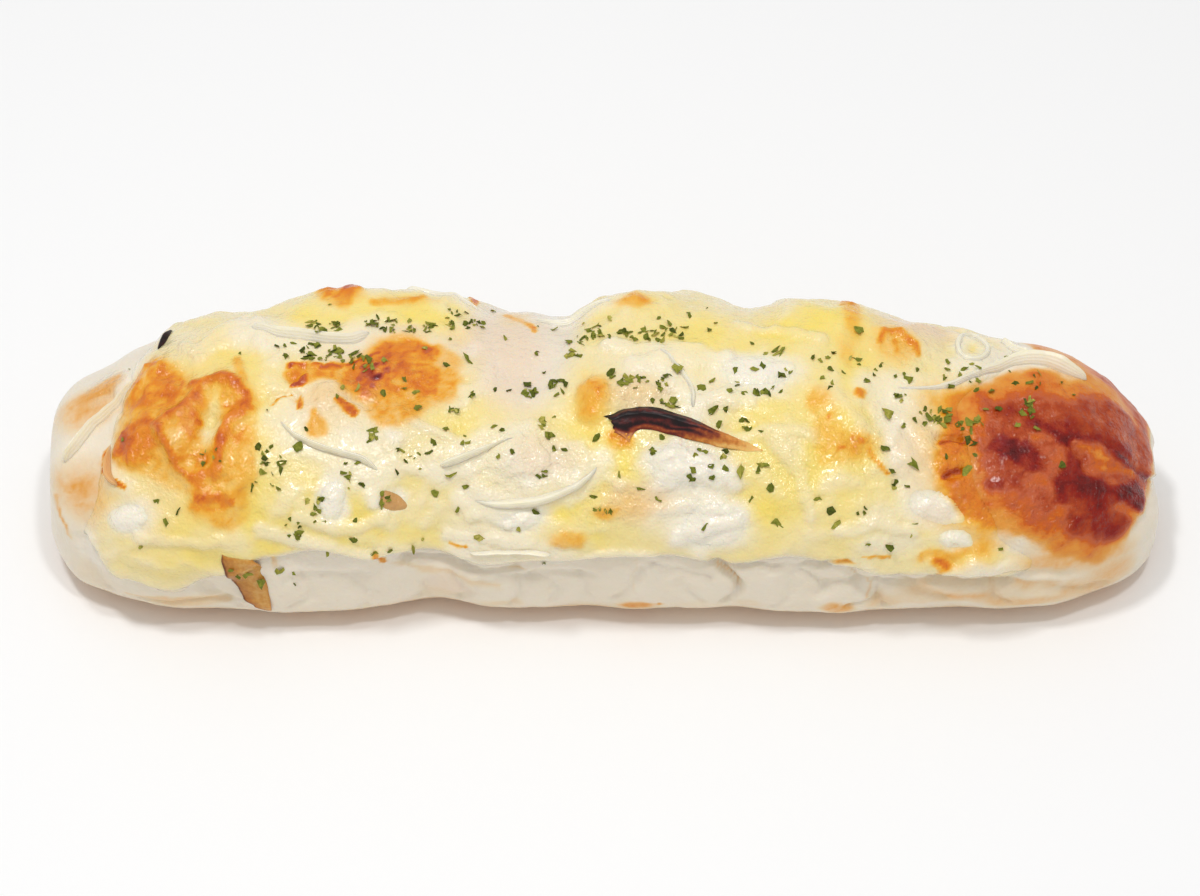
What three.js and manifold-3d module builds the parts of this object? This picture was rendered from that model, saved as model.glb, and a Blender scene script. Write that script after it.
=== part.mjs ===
import * as THREE from 'three';
import { mergeVertices } from 'three/addons/utils/BufferGeometryUtils.js';
import Module from 'manifold-3d';

// A baked cheese bread stick: a long soft loaf, a skin of melted cheese over its top, and
// sliced onion baked onto it. Sizes are in millimetres and angles in degrees. A place on the
// loaf is given as x along it and a turn round it: 0 is the front, 90 the crest, 180 the back
// and -90 the underside. A lift is a height above the bare dough there.

const loaf = {
  length: 186.4,
  frontReach: 27.9, // from the middle line to the front side
  backReach: 26.8,
  crestHeight: 35,
  waistHeight: 12, // height of the widest place
  tipHeight: 9, // height of the foremost point of each end
  tipDrift: 1.2, // the ends bend a little to the front
  crownPower: 0.72, // how fast the crest falls to the ends
  crownSag: 0.07,
  pressedFlat: 1.1, // how much of the rounded underside the tray pressed flat
};
const roundness = { above: 2.15, below: 3.3 }; // powers of the section's rounded square
const endPowers = {
  frontLeft: 4.35,
  frontRight: 4.3,
  backLeft: 3.5,
  backRight: 2.55,
  under: 7,
};

// Swellings and pinches of the dough, as [x, millimetres] stops.
const frontSwell = [[-93, 0], [-76, 1.6], [-66, 0.9], [-56, 0.3], [-44, 0], [-28, -2.3], [-19, -0.6],
  [-4, -0.5], [6, 0.4], [15, -0.5], [28, 0.4], [45, 0.2], [60, 0.6], [78, 1.2], [93, 0]];
const backSwell = [[-93, 0], [-85, -2], [-78, -0.6], [-68, 0.2], [-56, -2], [-47, 0.6], [-37, -1], [-24, 0.3],
  [-14, -1], [-6, -3.2], [0, 0.2], [15, 0.5], [25, -3.6], [34, -0.4], [42, 0], [52, -1.8], [56, -1.2],
  [67, -1.4], [78, 0.4], [84, -1.2], [89, -5], [93, -5]];
const crestSwell = [[-93, 0], [-86, -2.2], [-74, 0.2], [-60, 0.6], [-40, 0.6], [-14, -0.9], [-5, -0.7], [5, 0.2],
  [25, -0.3], [36, 0.3], [55, -0.6], [78, 1.2], [84, 0.2], [89, -4.5], [93, -4.5]];

// The browned right end bulges, and a fold of crust runs over it along these stops.
const dome = { x: 74, turn: 62, reach: 17, rise: 0.9 };
const foldLine = [[62, 96], [70, 82], [78, 76], [86, 67], [93, 58]];
const fold = { step: 0.9, blend: 2.2, start: 64, startBlend: 8, fadeFrom: 120, fadeTo: 180 };

const skinGap = 0.3; // clear gap between pieces that touch
const seatSlack = 0.15; // so that a slice lies just above that gap
const turnPerMm = 2.25; // degrees round the loaf for one millimetre of its skin

// The melted cheese, and its front and back edges as [x, turn] stops.
const cheese = {
  thickness: 1.5,
  hemRound: 1.3, // distance over which the hem thins out
  tuck: 1.6, // how far the form dips under the dough outside the hem
};
const frontHem = [[-86, 24], [-79, 2], [-71, -2], [-63, 6], [-55, 16], [-47, 19], [-38, 14], [-30, 15],
  [-20, 11], [-9, 13], [8, 16], [19, 12], [30, 17], [38, 13], [46, 8], [56, 9], [66, 5], [74, 14]];
const backHem = [[-86, 146], [-72, 158], [-58, 166], [-45, 160], [-30, 170], [-14, 161], [2, 168], [18, 163],
  [33, 171], [48, 162], [60, 158], [74, 150]];
// The cheese's two ends, as [turn, x] stops.
const leftEdge = [[-10, -85], [20, -86], [50, -83], [75, -81], [100, -79], [130, -76], [170, -78]];
const rightEdge = [[-10, 66], [15, 70], [30, 64], [55, 60], [80, 58], [100, 66], [125, 70], [170, 66]];

// Bare dough shows through the cheese in these two places.
const bareSpots = [
  { x: -13, turn: 117, alongReach: 6.5, aroundReach: 15 },
  { x: -35, turn: 90, alongReach: 8, aroundReach: 6 },
];

// Thick places of the cheese: the ridge at the back edge, blisters, lumps and a tongue.
const cheeseLumps = [
  { x: -39, turn: 128, alongReach: 17, aroundReach: 6, rise: 2.1 },
  { x: -60, turn: 112, alongReach: 9, aroundReach: 7, rise: 1.0 },
  { x: -76, turn: 70, alongReach: 4.5, aroundReach: 5, rise: 1.1 },
  { x: -69, turn: 72, alongReach: 4, aroundReach: 6, rise: 1.4 },
  { x: -62, turn: 82, alongReach: 4.5, aroundReach: 4, rise: 1.2 },
  { x: -60, turn: 52, alongReach: 6, aroundReach: 6, rise: 1.2 },
  { x: -74, turn: 34, alongReach: 7, aroundReach: 5, rise: 0.8 },
  { x: -46, turn: 40, alongReach: 8, aroundReach: 7, rise: 0.9 },
  { x: -14, turn: 54, alongReach: 10, aroundReach: 5, rise: 1.2 },
  { x: -1.5, turn: 72, alongReach: 4.2, aroundReach: 6.5, rise: 1.5 },
  { x: 4.5, turn: 122, alongReach: 8.5, aroundReach: 6, rise: 1.7 },
  { x: 14, turn: 54, alongReach: 9, aroundReach: 5, rise: 1.3 },
  { x: 18, turn: 30, alongReach: 8, aroundReach: 5, rise: 1.0 },
  { x: 38, turn: 118, alongReach: 8, aroundReach: 7, rise: 1.5 },
  { x: 37, turn: 70, alongReach: 6, aroundReach: 7, rise: 0.9 },
  { x: 44, turn: 34, alongReach: 9, aroundReach: 6, rise: 0.7 },
  { x: 52, turn: 112, alongReach: 7, aroundReach: 5, rise: 0.9 },
  { x: 58, turn: 16, alongReach: 7, aroundReach: 3, rise: 0.8 },
  { x: -50, turn: 148, alongReach: 10, aroundReach: 6, rise: 0.9 },
  { x: -12, turn: 150, alongReach: 8, aroundReach: 6, rise: 0.6 },
  { x: 13, turn: 148, alongReach: 8, aroundReach: 6, rise: 0.6 },
  { x: 40, turn: 148, alongReach: 7, aroundReach: 6, rise: 0.6 },
];

// Onion slices lie along routes of [x, turn] stops.
const sliceStep = 2.4; // length of one step of a slice
const sliceEnd = { power: 8, width: 0.35 }; // how a slice narrows at its ends
const sliceSection = [[-1, 0.35], [-0.45, 1], [0.45, 1], [1, 0.35], [0.55, 0], [-0.55, 0]]; // [across, up]
const onionSlices = {
  onion_left_diagonal: {
    route: [[-76, 101.5], [-77.3, 96], [-79.3, 89.5], [-81.8, 83], [-84.3, 75.5], [-86.6, 68], [-88.4, 61]],
    width: 4,
    thickness: 0.9,
  },
  onion_left_edge: {
    route: [[-81.3, 70], [-80.9, 64], [-80.4, 57], [-79.6, 52.5], [-78.3, 49.5]], width: 2.2, thickness: 0.8,
  },
  onion_back_left: {
    route: [[-59, 109], [-53, 104.5], [-47.5, 101.5], [-42, 102], [-38.8, 107]], width: 2.4, thickness: 1,
  },
  onion_back_ridge: { route: [[-34, 137], [-29, 134], [-24.5, 129], [-21, 124]], width: 2.6, thickness: 0.8 },
  onion_back_middle: {
    route: [[-12.5, 124], [-9, 121.5], [-5, 122], [-1.5, 119.5], [2, 120]], width: 2.8, thickness: 0.8,
  },
  onion_lower_left: {
    route: [[-53, 70], [-50.5, 64.5], [-47, 60.3], [-42.5, 57], [-39, 54], [-36.5, 49]], width: 2.2, thickness: 0.9,
  },
  onion_middle: { route: [[-26.8, 50.5], [-24, 53.5], [-20.2, 58], [-17, 61], [-14, 63]], width: 2.2, thickness: 0.9 },
  onion_crescent: {
    route: [[-22.5, 40.5], [-17, 39], [-10.5, 40.5], [-5.5, 44.5], [-2.2, 49], [-0.3, 54]], width: 2.1, thickness: 1.1,
  },
  onion_front: { route: [[-22, 18.5], [-17, 20], [-12, 20.5], [-8.5, 19.5]], width: 2.4, thickness: 0.8 },
  onion_upper_middle: { route: [[8.5, 94], [11.5, 88], [14, 80], [14.2, 72]], width: 2.6, thickness: 0.8 },
  onion_long_right: {
    route: [[43, 84.5], [48, 84], [54, 86], [59, 90.3], [63.8, 97], [68, 104.5], [72.5, 106.5], [76, 104], [79.5, 103]],
    width: 3,
    thickness: 1.2,
  },
  onion_right_branch: {
    route: [[66.4, 121.5], [67.8, 117.5], [69.4, 114.5], [71, 112.2]], width: 2.2, thickness: 0.9,
  },
  onion_ring: {
    route: [[58.7, 107], [59.6, 116], [61.8, 120.5], [63.8, 113], [63.2, 105.5], [61.4, 100.5], [59.4, 101]],
    width: 1.5,
    thickness: 0.9,
    loop: true,
  },
};

// Thick white bits of onion and cream cheese.
const chunkPoints = 10;
const chunkSquareness = 2.6;
const chunkRings = [[0.88, 0], [1, 0.4], [0.72, 0.95]]; // [size, height] as shares of the chunk's own
const whiteChunks = {
  chunk_far_left: { x: -77, turn: 36.5, length: 7, width: 4.8, height: 1.3, skew: 20 },
  chunk_left: { x: -44, turn: 41, length: 3.8, width: 5.8, height: 1.3, skew: -10 },
  chunk_tan: { x: -34.6, turn: 38, length: 4.4, width: 2.4, height: 1.1, skew: -20 },
  chunk_middle: { x: -13.5, turn: 32.5, length: 6.4, width: 3, height: 1.2, skew: 18 },
  chunk_upper: { x: 25, turn: 87.5, length: 12, width: 5, height: 1.2, skew: 4 },
  chunk_lower: { x: 17.5, turn: 31, length: 10.5, width: 6.6, height: 1.4, skew: 16 },
  chunk_centre: { x: 13, turn: 51.5, length: 11, width: 5.8, height: 1.4, skew: -10 },
  chunk_right: { x: 53.8, turn: 40, length: 7.6, width: 4.8, height: 1.4, skew: -24 },
  chunk_right_low: { x: 57, turn: 28, length: 6, width: 3, height: 1.1, skew: 4 },
};

// Two slices are charred; the long one stands off the cheese in its middle.
const charredTip = {
  route: [[-74.3, 107.5], [-73.7, 115], [-72.4, 124.5]], width: 1.2, thickness: 0.8, arch: 0.3,
};
const charredSlice = {
  route: [[1, 67.5], [4, 69], [8, 68.5], [12, 65.5], [16.5, 62.5], [21, 60.5], [25.5, 59]],
  width: 2.9,
  thickness: 0.7,
  arch: 2,
};

// A thin slice that hangs over the front edge of the cheese.
const hangingFlap = {
  route: [[-60.4, 20.5], [-59.4, 13], [-58.4, 5], [-57.4, -3], [-56.4, -11]],
  width: 6,
  tipWidth: 1.6,
  thickness: 0.7,
  swing: 1.4, // how far its tip stands off the dough
};

// How finely the skins are divided.
const breadRings = { middleStep: 4.6, middleEnd: 79, capSteps: 6 };
const breadTurns = { aboveSteps: 20, belowSteps: 9 };
const cheeseRings = { middleStep: 3.3, middleEnd: 83, capSteps: 3 };
const cheeseTurns = { aboveSteps: 28, belowSteps: 4 };
const sideTurn = { from: -10, to: 190 };
const nudge = { along: 0.05, turn: 0.5 }; // steps for measuring which way the skin faces
const mergeDistance = 1e-4;

const wasm = await Module();
wasm.setup();

const radians = THREE.MathUtils.degToRad;

function blendStops(at, stops) {
  const last = stops.length - 1;
  if (at <= stops[0][0]) return stops[0][1];
  if (at >= stops[last][0]) return stops[last][1];
  const next = stops.findIndex(([place]) => place > at);
  const [fromPlace, fromValue] = stops[next - 1];
  const [toPlace, toValue] = stops[next];
  return THREE.MathUtils.lerp(fromValue, toValue, THREE.MathUtils.smoothstep(at, fromPlace, toPlace));
}

function endTaper(x, leftPower, rightPower) {
  const share = Math.min(Math.abs(x) / (loaf.length / 2), 1);
  const power = x < 0 ? leftPower : rightPower;
  return (1 - share ** power) ** (1 / power);
}

function bell(distance) {
  return Math.exp(-distance * distance);
}

function roundedPower(value, power) {
  return Math.sign(value) * Math.abs(value) ** (2 / power);
}

// The dough's own relief: the bulge of the right end and the step of its fold.
function doughRelief(x, turn) {
  const bulge = dome.rise * bell(Math.hypot(x - dome.x, (turn - dome.turn) / turnPerMm) / dome.reach);
  const aboveFold = (turn - blendStops(x, foldLine)) / turnPerMm;
  const onStep = THREE.MathUtils.smoothstep(aboveFold, -fold.blend / 2, fold.blend / 2);
  const started = THREE.MathUtils.smoothstep(x, fold.start, fold.start + fold.startBlend);
  const fadesBehind = 1 - THREE.MathUtils.smoothstep(turn, fold.fadeFrom, fold.fadeTo);
  const fadesToTip = endTaper(x, endPowers.backLeft, endPowers.backRight);
  return (bulge + fold.step * onStep * started * fadesBehind) * fadesToTip;
}

function plainLoafPoint(x, turn) {
  const share = x / (loaf.length / 2);
  const front = endTaper(x, endPowers.frontLeft, endPowers.frontRight);
  const back = endTaper(x, endPowers.backLeft, endPowers.backRight);
  const under = endTaper(x, endPowers.under, endPowers.under);
  const floor = loaf.tipHeight * (1 - under);
  const waist = THREE.MathUtils.lerp(loaf.tipHeight, loaf.waistHeight, front);
  const crown = back ** loaf.crownPower * (1 - loaf.crownSag * share * share);
  const evenCrest = THREE.MathUtils.lerp(loaf.tipHeight, loaf.crestHeight, crown);
  const crest = evenCrest + blendStops(x, crestSwell) * back;
  const across = Math.cos(radians(turn));
  const up = Math.sin(radians(turn));
  const power = up >= 0 ? roundness.above : roundness.below;
  const frontReach = (loaf.frontReach + blendStops(x, frontSwell)) * front;
  const backReach = (loaf.backReach + blendStops(x, backSwell)) * back;
  const reach = across >= 0 ? frontReach : backReach;
  const height = up >= 0 ? crest - waist : waist - floor + loaf.pressedFlat * under;
  const y = -loaf.tipDrift * share * share - reach * roundedPower(across, power);
  const z = waist + height * roundedPower(up, power);
  return new THREE.Vector3(x, y, Math.max(z, floor));
}

function loafNormal(x, turn) {
  const limit = loaf.length / 2 - nudge.along;
  const inside = THREE.MathUtils.clamp(x, -limit, limit);
  const ahead = plainLoafPoint(inside + nudge.along, turn).sub(plainLoafPoint(inside - nudge.along, turn));
  const round = plainLoafPoint(inside, turn + nudge.turn).sub(plainLoafPoint(inside, turn - nudge.turn));
  return ahead.cross(round).normalize();
}

// The point on the loaf at x and turn, lifted off the bare dough.
function onLoaf(x, turn, lift) {
  const point = plainLoafPoint(x, turn);
  return point.addScaledVector(loafNormal(x, turn), doughRelief(x, turn) + lift);
}

function bareSpotEdge(spot, x, turn) {
  const along = (x - spot.x) / spot.alongReach;
  const around = (turn - spot.turn) / turnPerMm / spot.aroundReach;
  return (Math.hypot(along, around) - 1) * Math.min(spot.alongReach, spot.aroundReach);
}

// How far a place lies inside the cheese's edge, in millimetres; less than zero is bare dough.
function insideHem(x, turn) {
  return Math.min(
    (turn - blendStops(x, frontHem)) / turnPerMm,
    (blendStops(x, backHem) - turn) / turnPerMm,
    x - blendStops(turn, leftEdge),
    blendStops(turn, rightEdge) - x,
    ...bareSpots.map((spot) => bareSpotEdge(spot, x, turn)),
  );
}

function cheeseLift(x, turn) {
  const inside = insideHem(x, turn);
  if (inside < 0) return cheese.tuck * Math.max(inside / cheese.hemRound, -1);
  const share = 1 - Math.exp(-inside / cheese.hemRound);
  const lumps = cheeseLumps.reduce((sum, lump) => {
    const around = (turn - lump.turn) / turnPerMm / lump.aroundReach;
    return sum + lump.rise * bell(Math.hypot((x - lump.x) / lump.alongReach, around));
  }, 0);
  return share * (cheese.thickness + lumps);
}

function seatLift(x, turn) {
  return Math.max(cheeseLift(x, turn), 0) + skinGap + seatSlack;
}

// Stations along the loaf: even in the middle, then closer as the end caps round in.
function ringPlaces({ middleEnd, middleStep, capSteps }) {
  const places = [];
  const middleCount = Math.round((2 * middleEnd) / middleStep);
  const capWidth = endTaper(middleEnd, endPowers.frontLeft, endPowers.frontRight);
  for (let i = 0; i <= middleCount; i += 1) places.push(-middleEnd + (2 * middleEnd * i) / middleCount);
  for (let i = 1; i < capSteps; i += 1) {
    const width = capWidth * Math.cos((i * Math.PI) / 2 / capSteps);
    const share = (1 - width ** endPowers.frontRight) ** (1 / endPowers.frontRight);
    places.push((share * loaf.length) / 2);
    places.unshift((-share * loaf.length) / 2);
  }
  return places;
}

function turnPlaces({ aboveSteps, belowSteps }) {
  const places = [];
  for (let i = 0; i < aboveSteps; i += 1) {
    places.push(sideTurn.from + ((sideTurn.to - sideTurn.from) * i) / aboveSteps);
  }
  for (let i = 0; i < belowSteps; i += 1) {
    places.push(sideTurn.to + ((360 + sideTurn.from - sideTurn.to) * i) / belowSteps);
  }
  return places;
}

// A closed skin from rings of points, each joined to the next, with its two ends drawn to points
// or, for a loop, its last ring joined to its first.
function closedSkin(rings, endPoints) {
  const count = rings[0].length;
  const points = rings.flat();
  const faces = [];
  const bands = endPoints ? rings.length - 1 : rings.length;
  for (let band = 0; band < bands; band += 1) {
    const near = band * count;
    const far = ((band + 1) % rings.length) * count;
    for (let i = 0; i < count; i += 1) {
      const next = (i + 1) % count;
      faces.push(near + i, far + i, far + next, near + i, far + next, near + next);
    }
  }
  if (endPoints) {
    const lastRing = (rings.length - 1) * count;
    const firstTip = points.push(endPoints[0]) - 1;
    const lastTip = points.push(endPoints[1]) - 1;
    for (let i = 0; i < count; i += 1) {
      const next = (i + 1) % count;
      faces.push(firstTip, i, next, lastTip, lastRing + next, lastRing + i);
    }
  }
  return facingOut(points, faces);
}

function facingOut(points, faces) {
  let volume = 0;
  for (let i = 0; i < faces.length; i += 3) {
    const [a, b, c] = [points[faces[i]], points[faces[i + 1]], points[faces[i + 2]]];
    volume += a.dot(b.clone().cross(c));
  }
  if (volume < 0) faces.reverse();
  const geometry = new THREE.BufferGeometry().setFromPoints(points);
  geometry.setIndex(faces);
  return geometry;
}

function solidOf(geometry) {
  const merged = mergeVertices(geometry, mergeDistance);
  const mesh = new wasm.Mesh({
    numProp: 3,
    vertProperties: new Float32Array(merged.attributes.position.array),
    triVerts: new Uint32Array(merged.index.array),
  });
  return new wasm.Manifold(mesh);
}

function geometryOf(solid) {
  const mesh = solid.getMesh();
  const geometry = new THREE.BufferGeometry();
  geometry.setAttribute('position', new THREE.Float32BufferAttribute(mesh.vertProperties, 3));
  geometry.setIndex(new THREE.Uint32BufferAttribute(mesh.triVerts, 1));
  return geometry;
}

function loafSkin(ringSizes, turnSizes, liftAt) {
  const turns = turnPlaces(turnSizes);
  const rings = ringPlaces(ringSizes).map((x) => turns.map((turn) => onLoaf(x, turn, liftAt(x, turn))));
  const tips = [-1, 1].map((side) => {
    const x = (side * loaf.length) / 2;
    return plainLoafPoint(x, 0).add(new THREE.Vector3(side * liftAt(x, 0), 0, 0));
  });
  return closedSkin(rings, tips);
}

const breadSkin = (lift) => loafSkin(breadRings, breadTurns, () => lift);
const cheeseSkin = (liftAt) => loafSkin(cheeseRings, cheeseTurns, liftAt);

// Everything that lies on top is kept clear of this form.
const cheeseTop = cheeseSkin((x, turn) => seatLift(x, turn) - seatSlack);
const coveredLoaf = solidOf(breadSkin(skinGap)).add(solidOf(cheeseTop));

function cheeseLayer() {
  return geometryOf(solidOf(cheeseSkin(cheeseLift)).subtract(solidOf(breadSkin(skinGap))));
}

function clearOfCheese(geometry) {
  return geometryOf(solidOf(geometry).subtract(coveredLoaf));
}

// A slice with a flat oval section, laid along its route; a loop closes on itself.
function onionSlice({ route, width, tipWidth, thickness, loop = false, arch = 0, swing = 0 }) {
  const stops = route.map(([x, turn]) => new THREE.Vector3(x, turn / turnPerMm, 0));
  const path = new THREE.CatmullRomCurve3(stops, loop);
  const steps = Math.round(path.getLength() / sliceStep);
  const rings = [];
  const lastStep = loop ? steps - 1 : steps;
  for (let i = 0; i <= lastStep; i += 1) {
    const share = i / steps;
    const middle = path.getPointAt(share);
    const ahead = path.getTangentAt(share);
    const narrowing = loop ? 0 : Math.abs(2 * share - 1) ** sliceEnd.power * (1 - sliceEnd.width);
    const half = (THREE.MathUtils.lerp(width, tipWidth ?? width, share) / 2) * (1 - narrowing);
    const rise = arch * Math.sin(Math.PI * share) + swing * share * share;
    rings.push(sliceSection.map(([across, up]) => {
      const x = middle.x - ahead.y * across * half;
      const turn = (middle.y + ahead.x * across * half) * turnPerMm;
      return onLoaf(x, turn, seatLift(x, turn) + rise + up * thickness);
    }));
  }
  if (loop) return clearOfCheese(closedSkin(rings, null));
  const tips = [rings[0], rings[rings.length - 1]].map((ring) => {
    const sum = ring.reduce((total, point) => total.add(point), new THREE.Vector3());
    return sum.divideScalar(ring.length);
  });
  return clearOfCheese(closedSkin(rings, tips));
}

function whiteChunk({ x, turn, length, width, height, skew }) {
  const place = (along, around, lift) => {
    const turned = new THREE.Vector2(along, around).rotateAround(new THREE.Vector2(), radians(skew));
    const atX = x + turned.x;
    const atTurn = turn + turned.y * turnPerMm;
    return onLoaf(atX, atTurn, seatLift(atX, atTurn) + lift);
  };
  const rings = chunkRings.map(([size, up]) => {
    const ring = [];
    for (let i = 0; i < chunkPoints; i += 1) {
      const angle = (2 * Math.PI * i) / chunkPoints;
      const along = (length / 2) * size * roundedPower(Math.cos(angle), chunkSquareness);
      const around = (width / 2) * size * roundedPower(Math.sin(angle), chunkSquareness);
      ring.push(place(along, around, up * height));
    }
    return ring;
  });
  return clearOfCheese(closedSkin(rings, [place(0, 0, 0), place(0, 0, height)]));
}

function foodMesh(name, geometry, color, roughness) {
  const mesh = new THREE.Mesh(geometry, new THREE.MeshStandardMaterial({ color, roughness, metalness: 0 }));
  mesh.name = name;
  return mesh;
}

const group = new THREE.Group();
group.add(foodMesh('bread', breadSkin(0), '#ecdcc4', 0.6));
group.add(foodMesh('cheese_layer', cheeseLayer(), '#ecdc96', 0.4));
for (const [name, slice] of Object.entries(onionSlices)) {
  group.add(foodMesh(name, onionSlice(slice), '#e9e6d4', 0.35));
}
for (const [name, chunk] of Object.entries(whiteChunks)) {
  group.add(foodMesh(name, whiteChunk(chunk), '#f3ebdd', 0.45));
}
group.add(foodMesh('onion_charred', onionSlice(charredSlice), '#3b1519', 0.4));
group.add(foodMesh('onion_charred_tip', onionSlice(charredTip), '#3b1519', 0.5));
group.add(foodMesh('onion_flap', onionSlice(hangingFlap), '#d9983c', 0.3));

// The origin is under the middle of the whole stick.
const box = new THREE.Box3().setFromObject(group);
const middle = box.getCenter(new THREE.Vector3());
group.position.set(-middle.x, -middle.y, -box.min.z);

export default group;
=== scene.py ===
import math
import bpy
import numpy as np
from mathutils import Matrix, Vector
from mathutils.bvhtree import BVHTree


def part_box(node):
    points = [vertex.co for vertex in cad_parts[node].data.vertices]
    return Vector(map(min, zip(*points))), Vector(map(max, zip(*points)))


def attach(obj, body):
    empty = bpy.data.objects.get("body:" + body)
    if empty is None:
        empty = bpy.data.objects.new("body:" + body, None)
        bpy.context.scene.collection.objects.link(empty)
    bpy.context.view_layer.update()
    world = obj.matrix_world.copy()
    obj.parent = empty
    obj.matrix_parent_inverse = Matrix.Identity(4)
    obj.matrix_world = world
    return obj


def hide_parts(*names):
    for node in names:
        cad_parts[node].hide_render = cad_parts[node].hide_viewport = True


# Cheese bread stick: a soft loaf, melted cheese, baked onion slices and dried herb flakes.
# A place on the loaf is x along it in mm and a turn round it in degrees:
# 0 front, 90 crest, 180 back, -90 underside. Lifts are mm above the bare dough.

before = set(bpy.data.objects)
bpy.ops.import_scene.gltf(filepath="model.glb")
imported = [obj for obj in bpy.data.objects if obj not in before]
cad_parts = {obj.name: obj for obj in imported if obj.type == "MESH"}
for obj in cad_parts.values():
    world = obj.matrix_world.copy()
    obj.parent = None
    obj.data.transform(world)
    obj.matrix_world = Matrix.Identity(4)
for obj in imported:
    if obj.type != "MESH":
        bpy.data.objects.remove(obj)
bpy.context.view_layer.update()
scene = bpy.context.scene
mm = 0.001
turnPerMm = 2.25  # degrees round the loaf for one mm of its skin
rng = np.random.default_rng(41)

# ---- small tools ----


def smoothStep(value, low, high):
    share = np.clip((value - low) / (high - low), 0, 1)
    return share * share * (3 - 2 * share)


def bell(distance):
    return np.exp(-distance * distance)


def blendStops(at, stops):
    places = np.array([stop[0] for stop in stops], float)
    values = np.array([stop[1] for stop in stops], float)
    near = np.clip(np.searchsorted(places, at, side="right") - 1, 0, len(places) - 2)
    share = smoothStep(at, places[near], places[near + 1])
    return values[near] * (1 - share) + values[near + 1] * share


noiseTable = rng.random((64, 64, 64))
cellTable = rng.random((64, 64, 64, 3))


# Smooth noise from -1 to 1; size is the width of one lump in mm.
def softNoise(points, size, offset=0.0):
    at = points / size + offset
    cell = np.floor(at).astype(int)
    share = at - cell
    share = share * share * (3 - 2 * share)
    low, high = cell % 64, (cell + 1) % 64
    total = 0
    for cornerX in (0, 1):
        for cornerY in (0, 1):
            for cornerZ in (0, 1):
                pickX = high[:, 0] if cornerX else low[:, 0]
                pickY = high[:, 1] if cornerY else low[:, 1]
                pickZ = high[:, 2] if cornerZ else low[:, 2]
                weight = np.abs(1 - cornerX - share[:, 0]) * np.abs(1 - cornerY - share[:, 1])
                total = total + noiseTable[pickX, pickY, pickZ] * weight * np.abs(1 - cornerZ - share[:, 2])
    return 2 * total - 1


# Lumps of several sizes: rise in mm, size in mm and offset of each.
def lumpy(points, lumps):
    return sum(rise * softNoise(points, *noise) for rise, *noise in lumps)


# Round bubbles packed side by side, 0 between them and 1 on top of each.
def bubbleNoise(points, size):
    at = points / size
    cell = np.floor(at).astype(int)
    nearest = np.full(len(at), 9.0)
    for stepX in (-1, 0, 1):
        for stepY in (-1, 0, 1):
            for stepZ in (-1, 0, 1):
                other = cell + np.array([stepX, stepY, stepZ])
                wrapped = other % 64
                seat = other + cellTable[wrapped[:, 0], wrapped[:, 1], wrapped[:, 2]]
                nearest = np.minimum(nearest, np.linalg.norm(at - seat, axis=1))
    return np.clip(1 - nearest * nearest, 0, 1)


# Wandering threads, 1 on a thread and 0 between them.
def veinNoise(points, size):
    drift = np.stack([softNoise(points, size, shift) for shift in (1.7, 4.9, 8.2)], -1)
    drifted = points + 0.6 * size * drift
    return np.clip(1 - 2.6 * np.abs(softNoise(drifted, size, 2.9)), 0, 1)


# ---- shape of the loaf, as in the CAD part ----

loaf = {
    "length": 186.4, "frontReach": 27.9, "backReach": 26.8, "crestHeight": 35.0, "waistHeight": 12.0,
    "tipHeight": 9.0, "tipDrift": 1.2, "crownPower": 0.72, "crownSag": 0.07, "pressedFlat": 1.1,
    "roundAbove": 2.15, "roundBelow": 3.3, "frontLeft": 4.35, "frontRight": 4.3, "backLeft": 3.5,
    "backRight": 2.55, "under": 7.0,
}
frontSwell = [
    (-93, 0), (-76, 1.6), (-66, 0.9), (-56, 0.3), (-44, 0), (-28, -2.3), (-19, -0.6), (-4, -0.5), (6, 0.4),
    (15, -0.5), (28, 0.4), (45, 0.2), (60, 0.6), (78, 1.2), (93, 0),
]
backSwell = [
    (-93, 0), (-85, -2), (-78, -0.6), (-68, 0.2), (-56, -2), (-47, 0.6), (-37, -1), (-24, 0.3), (-14, -1),
    (-6, -3.2), (0, 0.2), (15, 0.5), (25, -3.6), (34, -0.4), (42, 0), (52, -1.8), (56, -1.2), (67, -1.4),
    (78, 0.4), (84, -1.2), (89, -5), (93, -5),
]
crestSwell = [
    (-93, 0), (-86, -2.2), (-74, 0.2), (-60, 0.6), (-40, 0.6), (-14, -0.9), (-5, -0.7), (5, 0.2),
    (25, -0.3), (36, 0.3), (55, -0.6), (78, 1.2), (84, 0.2), (89, -4.5), (93, -4.5),
]
dome = {"x": 74, "turn": 62, "reach": 17, "rise": 0.9}
foldLine = [(62, 96), (70, 82), (78, 76), (86, 67), (93, 58)]
fold = {"step": 0.9, "blend": 1.4, "start": 64, "startBlend": 8, "fadeFrom": 120, "fadeTo": 180}

cheese = {"thickness": 1.5, "film": 0.06, "hemRound": 1.3, "tuck": 1.6}
hemSoft = {"front": 1.3, "back": 1.6, "left": 3.0, "right": 4.5, "bareSpot": 4.0}  # mm over which it thins
frontHem = [
    (-86, 24), (-79, 2), (-71, -2), (-63, 6), (-55, 16), (-47, 19), (-38, 14), (-30, 15), (-20, 11),
    (-9, 13), (8, 16), (19, 12), (30, 17), (38, 13), (46, 8), (56, 9), (66, 5), (74, 14),
]
backHem = [
    (-86, 146), (-72, 158), (-58, 166), (-45, 160), (-30, 170), (-14, 161), (2, 168), (18, 163), (33, 171),
    (48, 162), (60, 158), (74, 150),
]
leftEdge = [(-10, -85), (20, -86), (50, -83), (75, -81), (100, -79), (130, -76), (170, -78)]
rightEdge = [(-10, 66), (15, 70), (30, 64), (55, 60), (80, 58), (100, 66), (125, 70), (170, 66)]
bareSpots = [(-13, 117, 6.5, 15), (-35, 90, 8, 6)]  # x, turn, reach along, reach round
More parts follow.
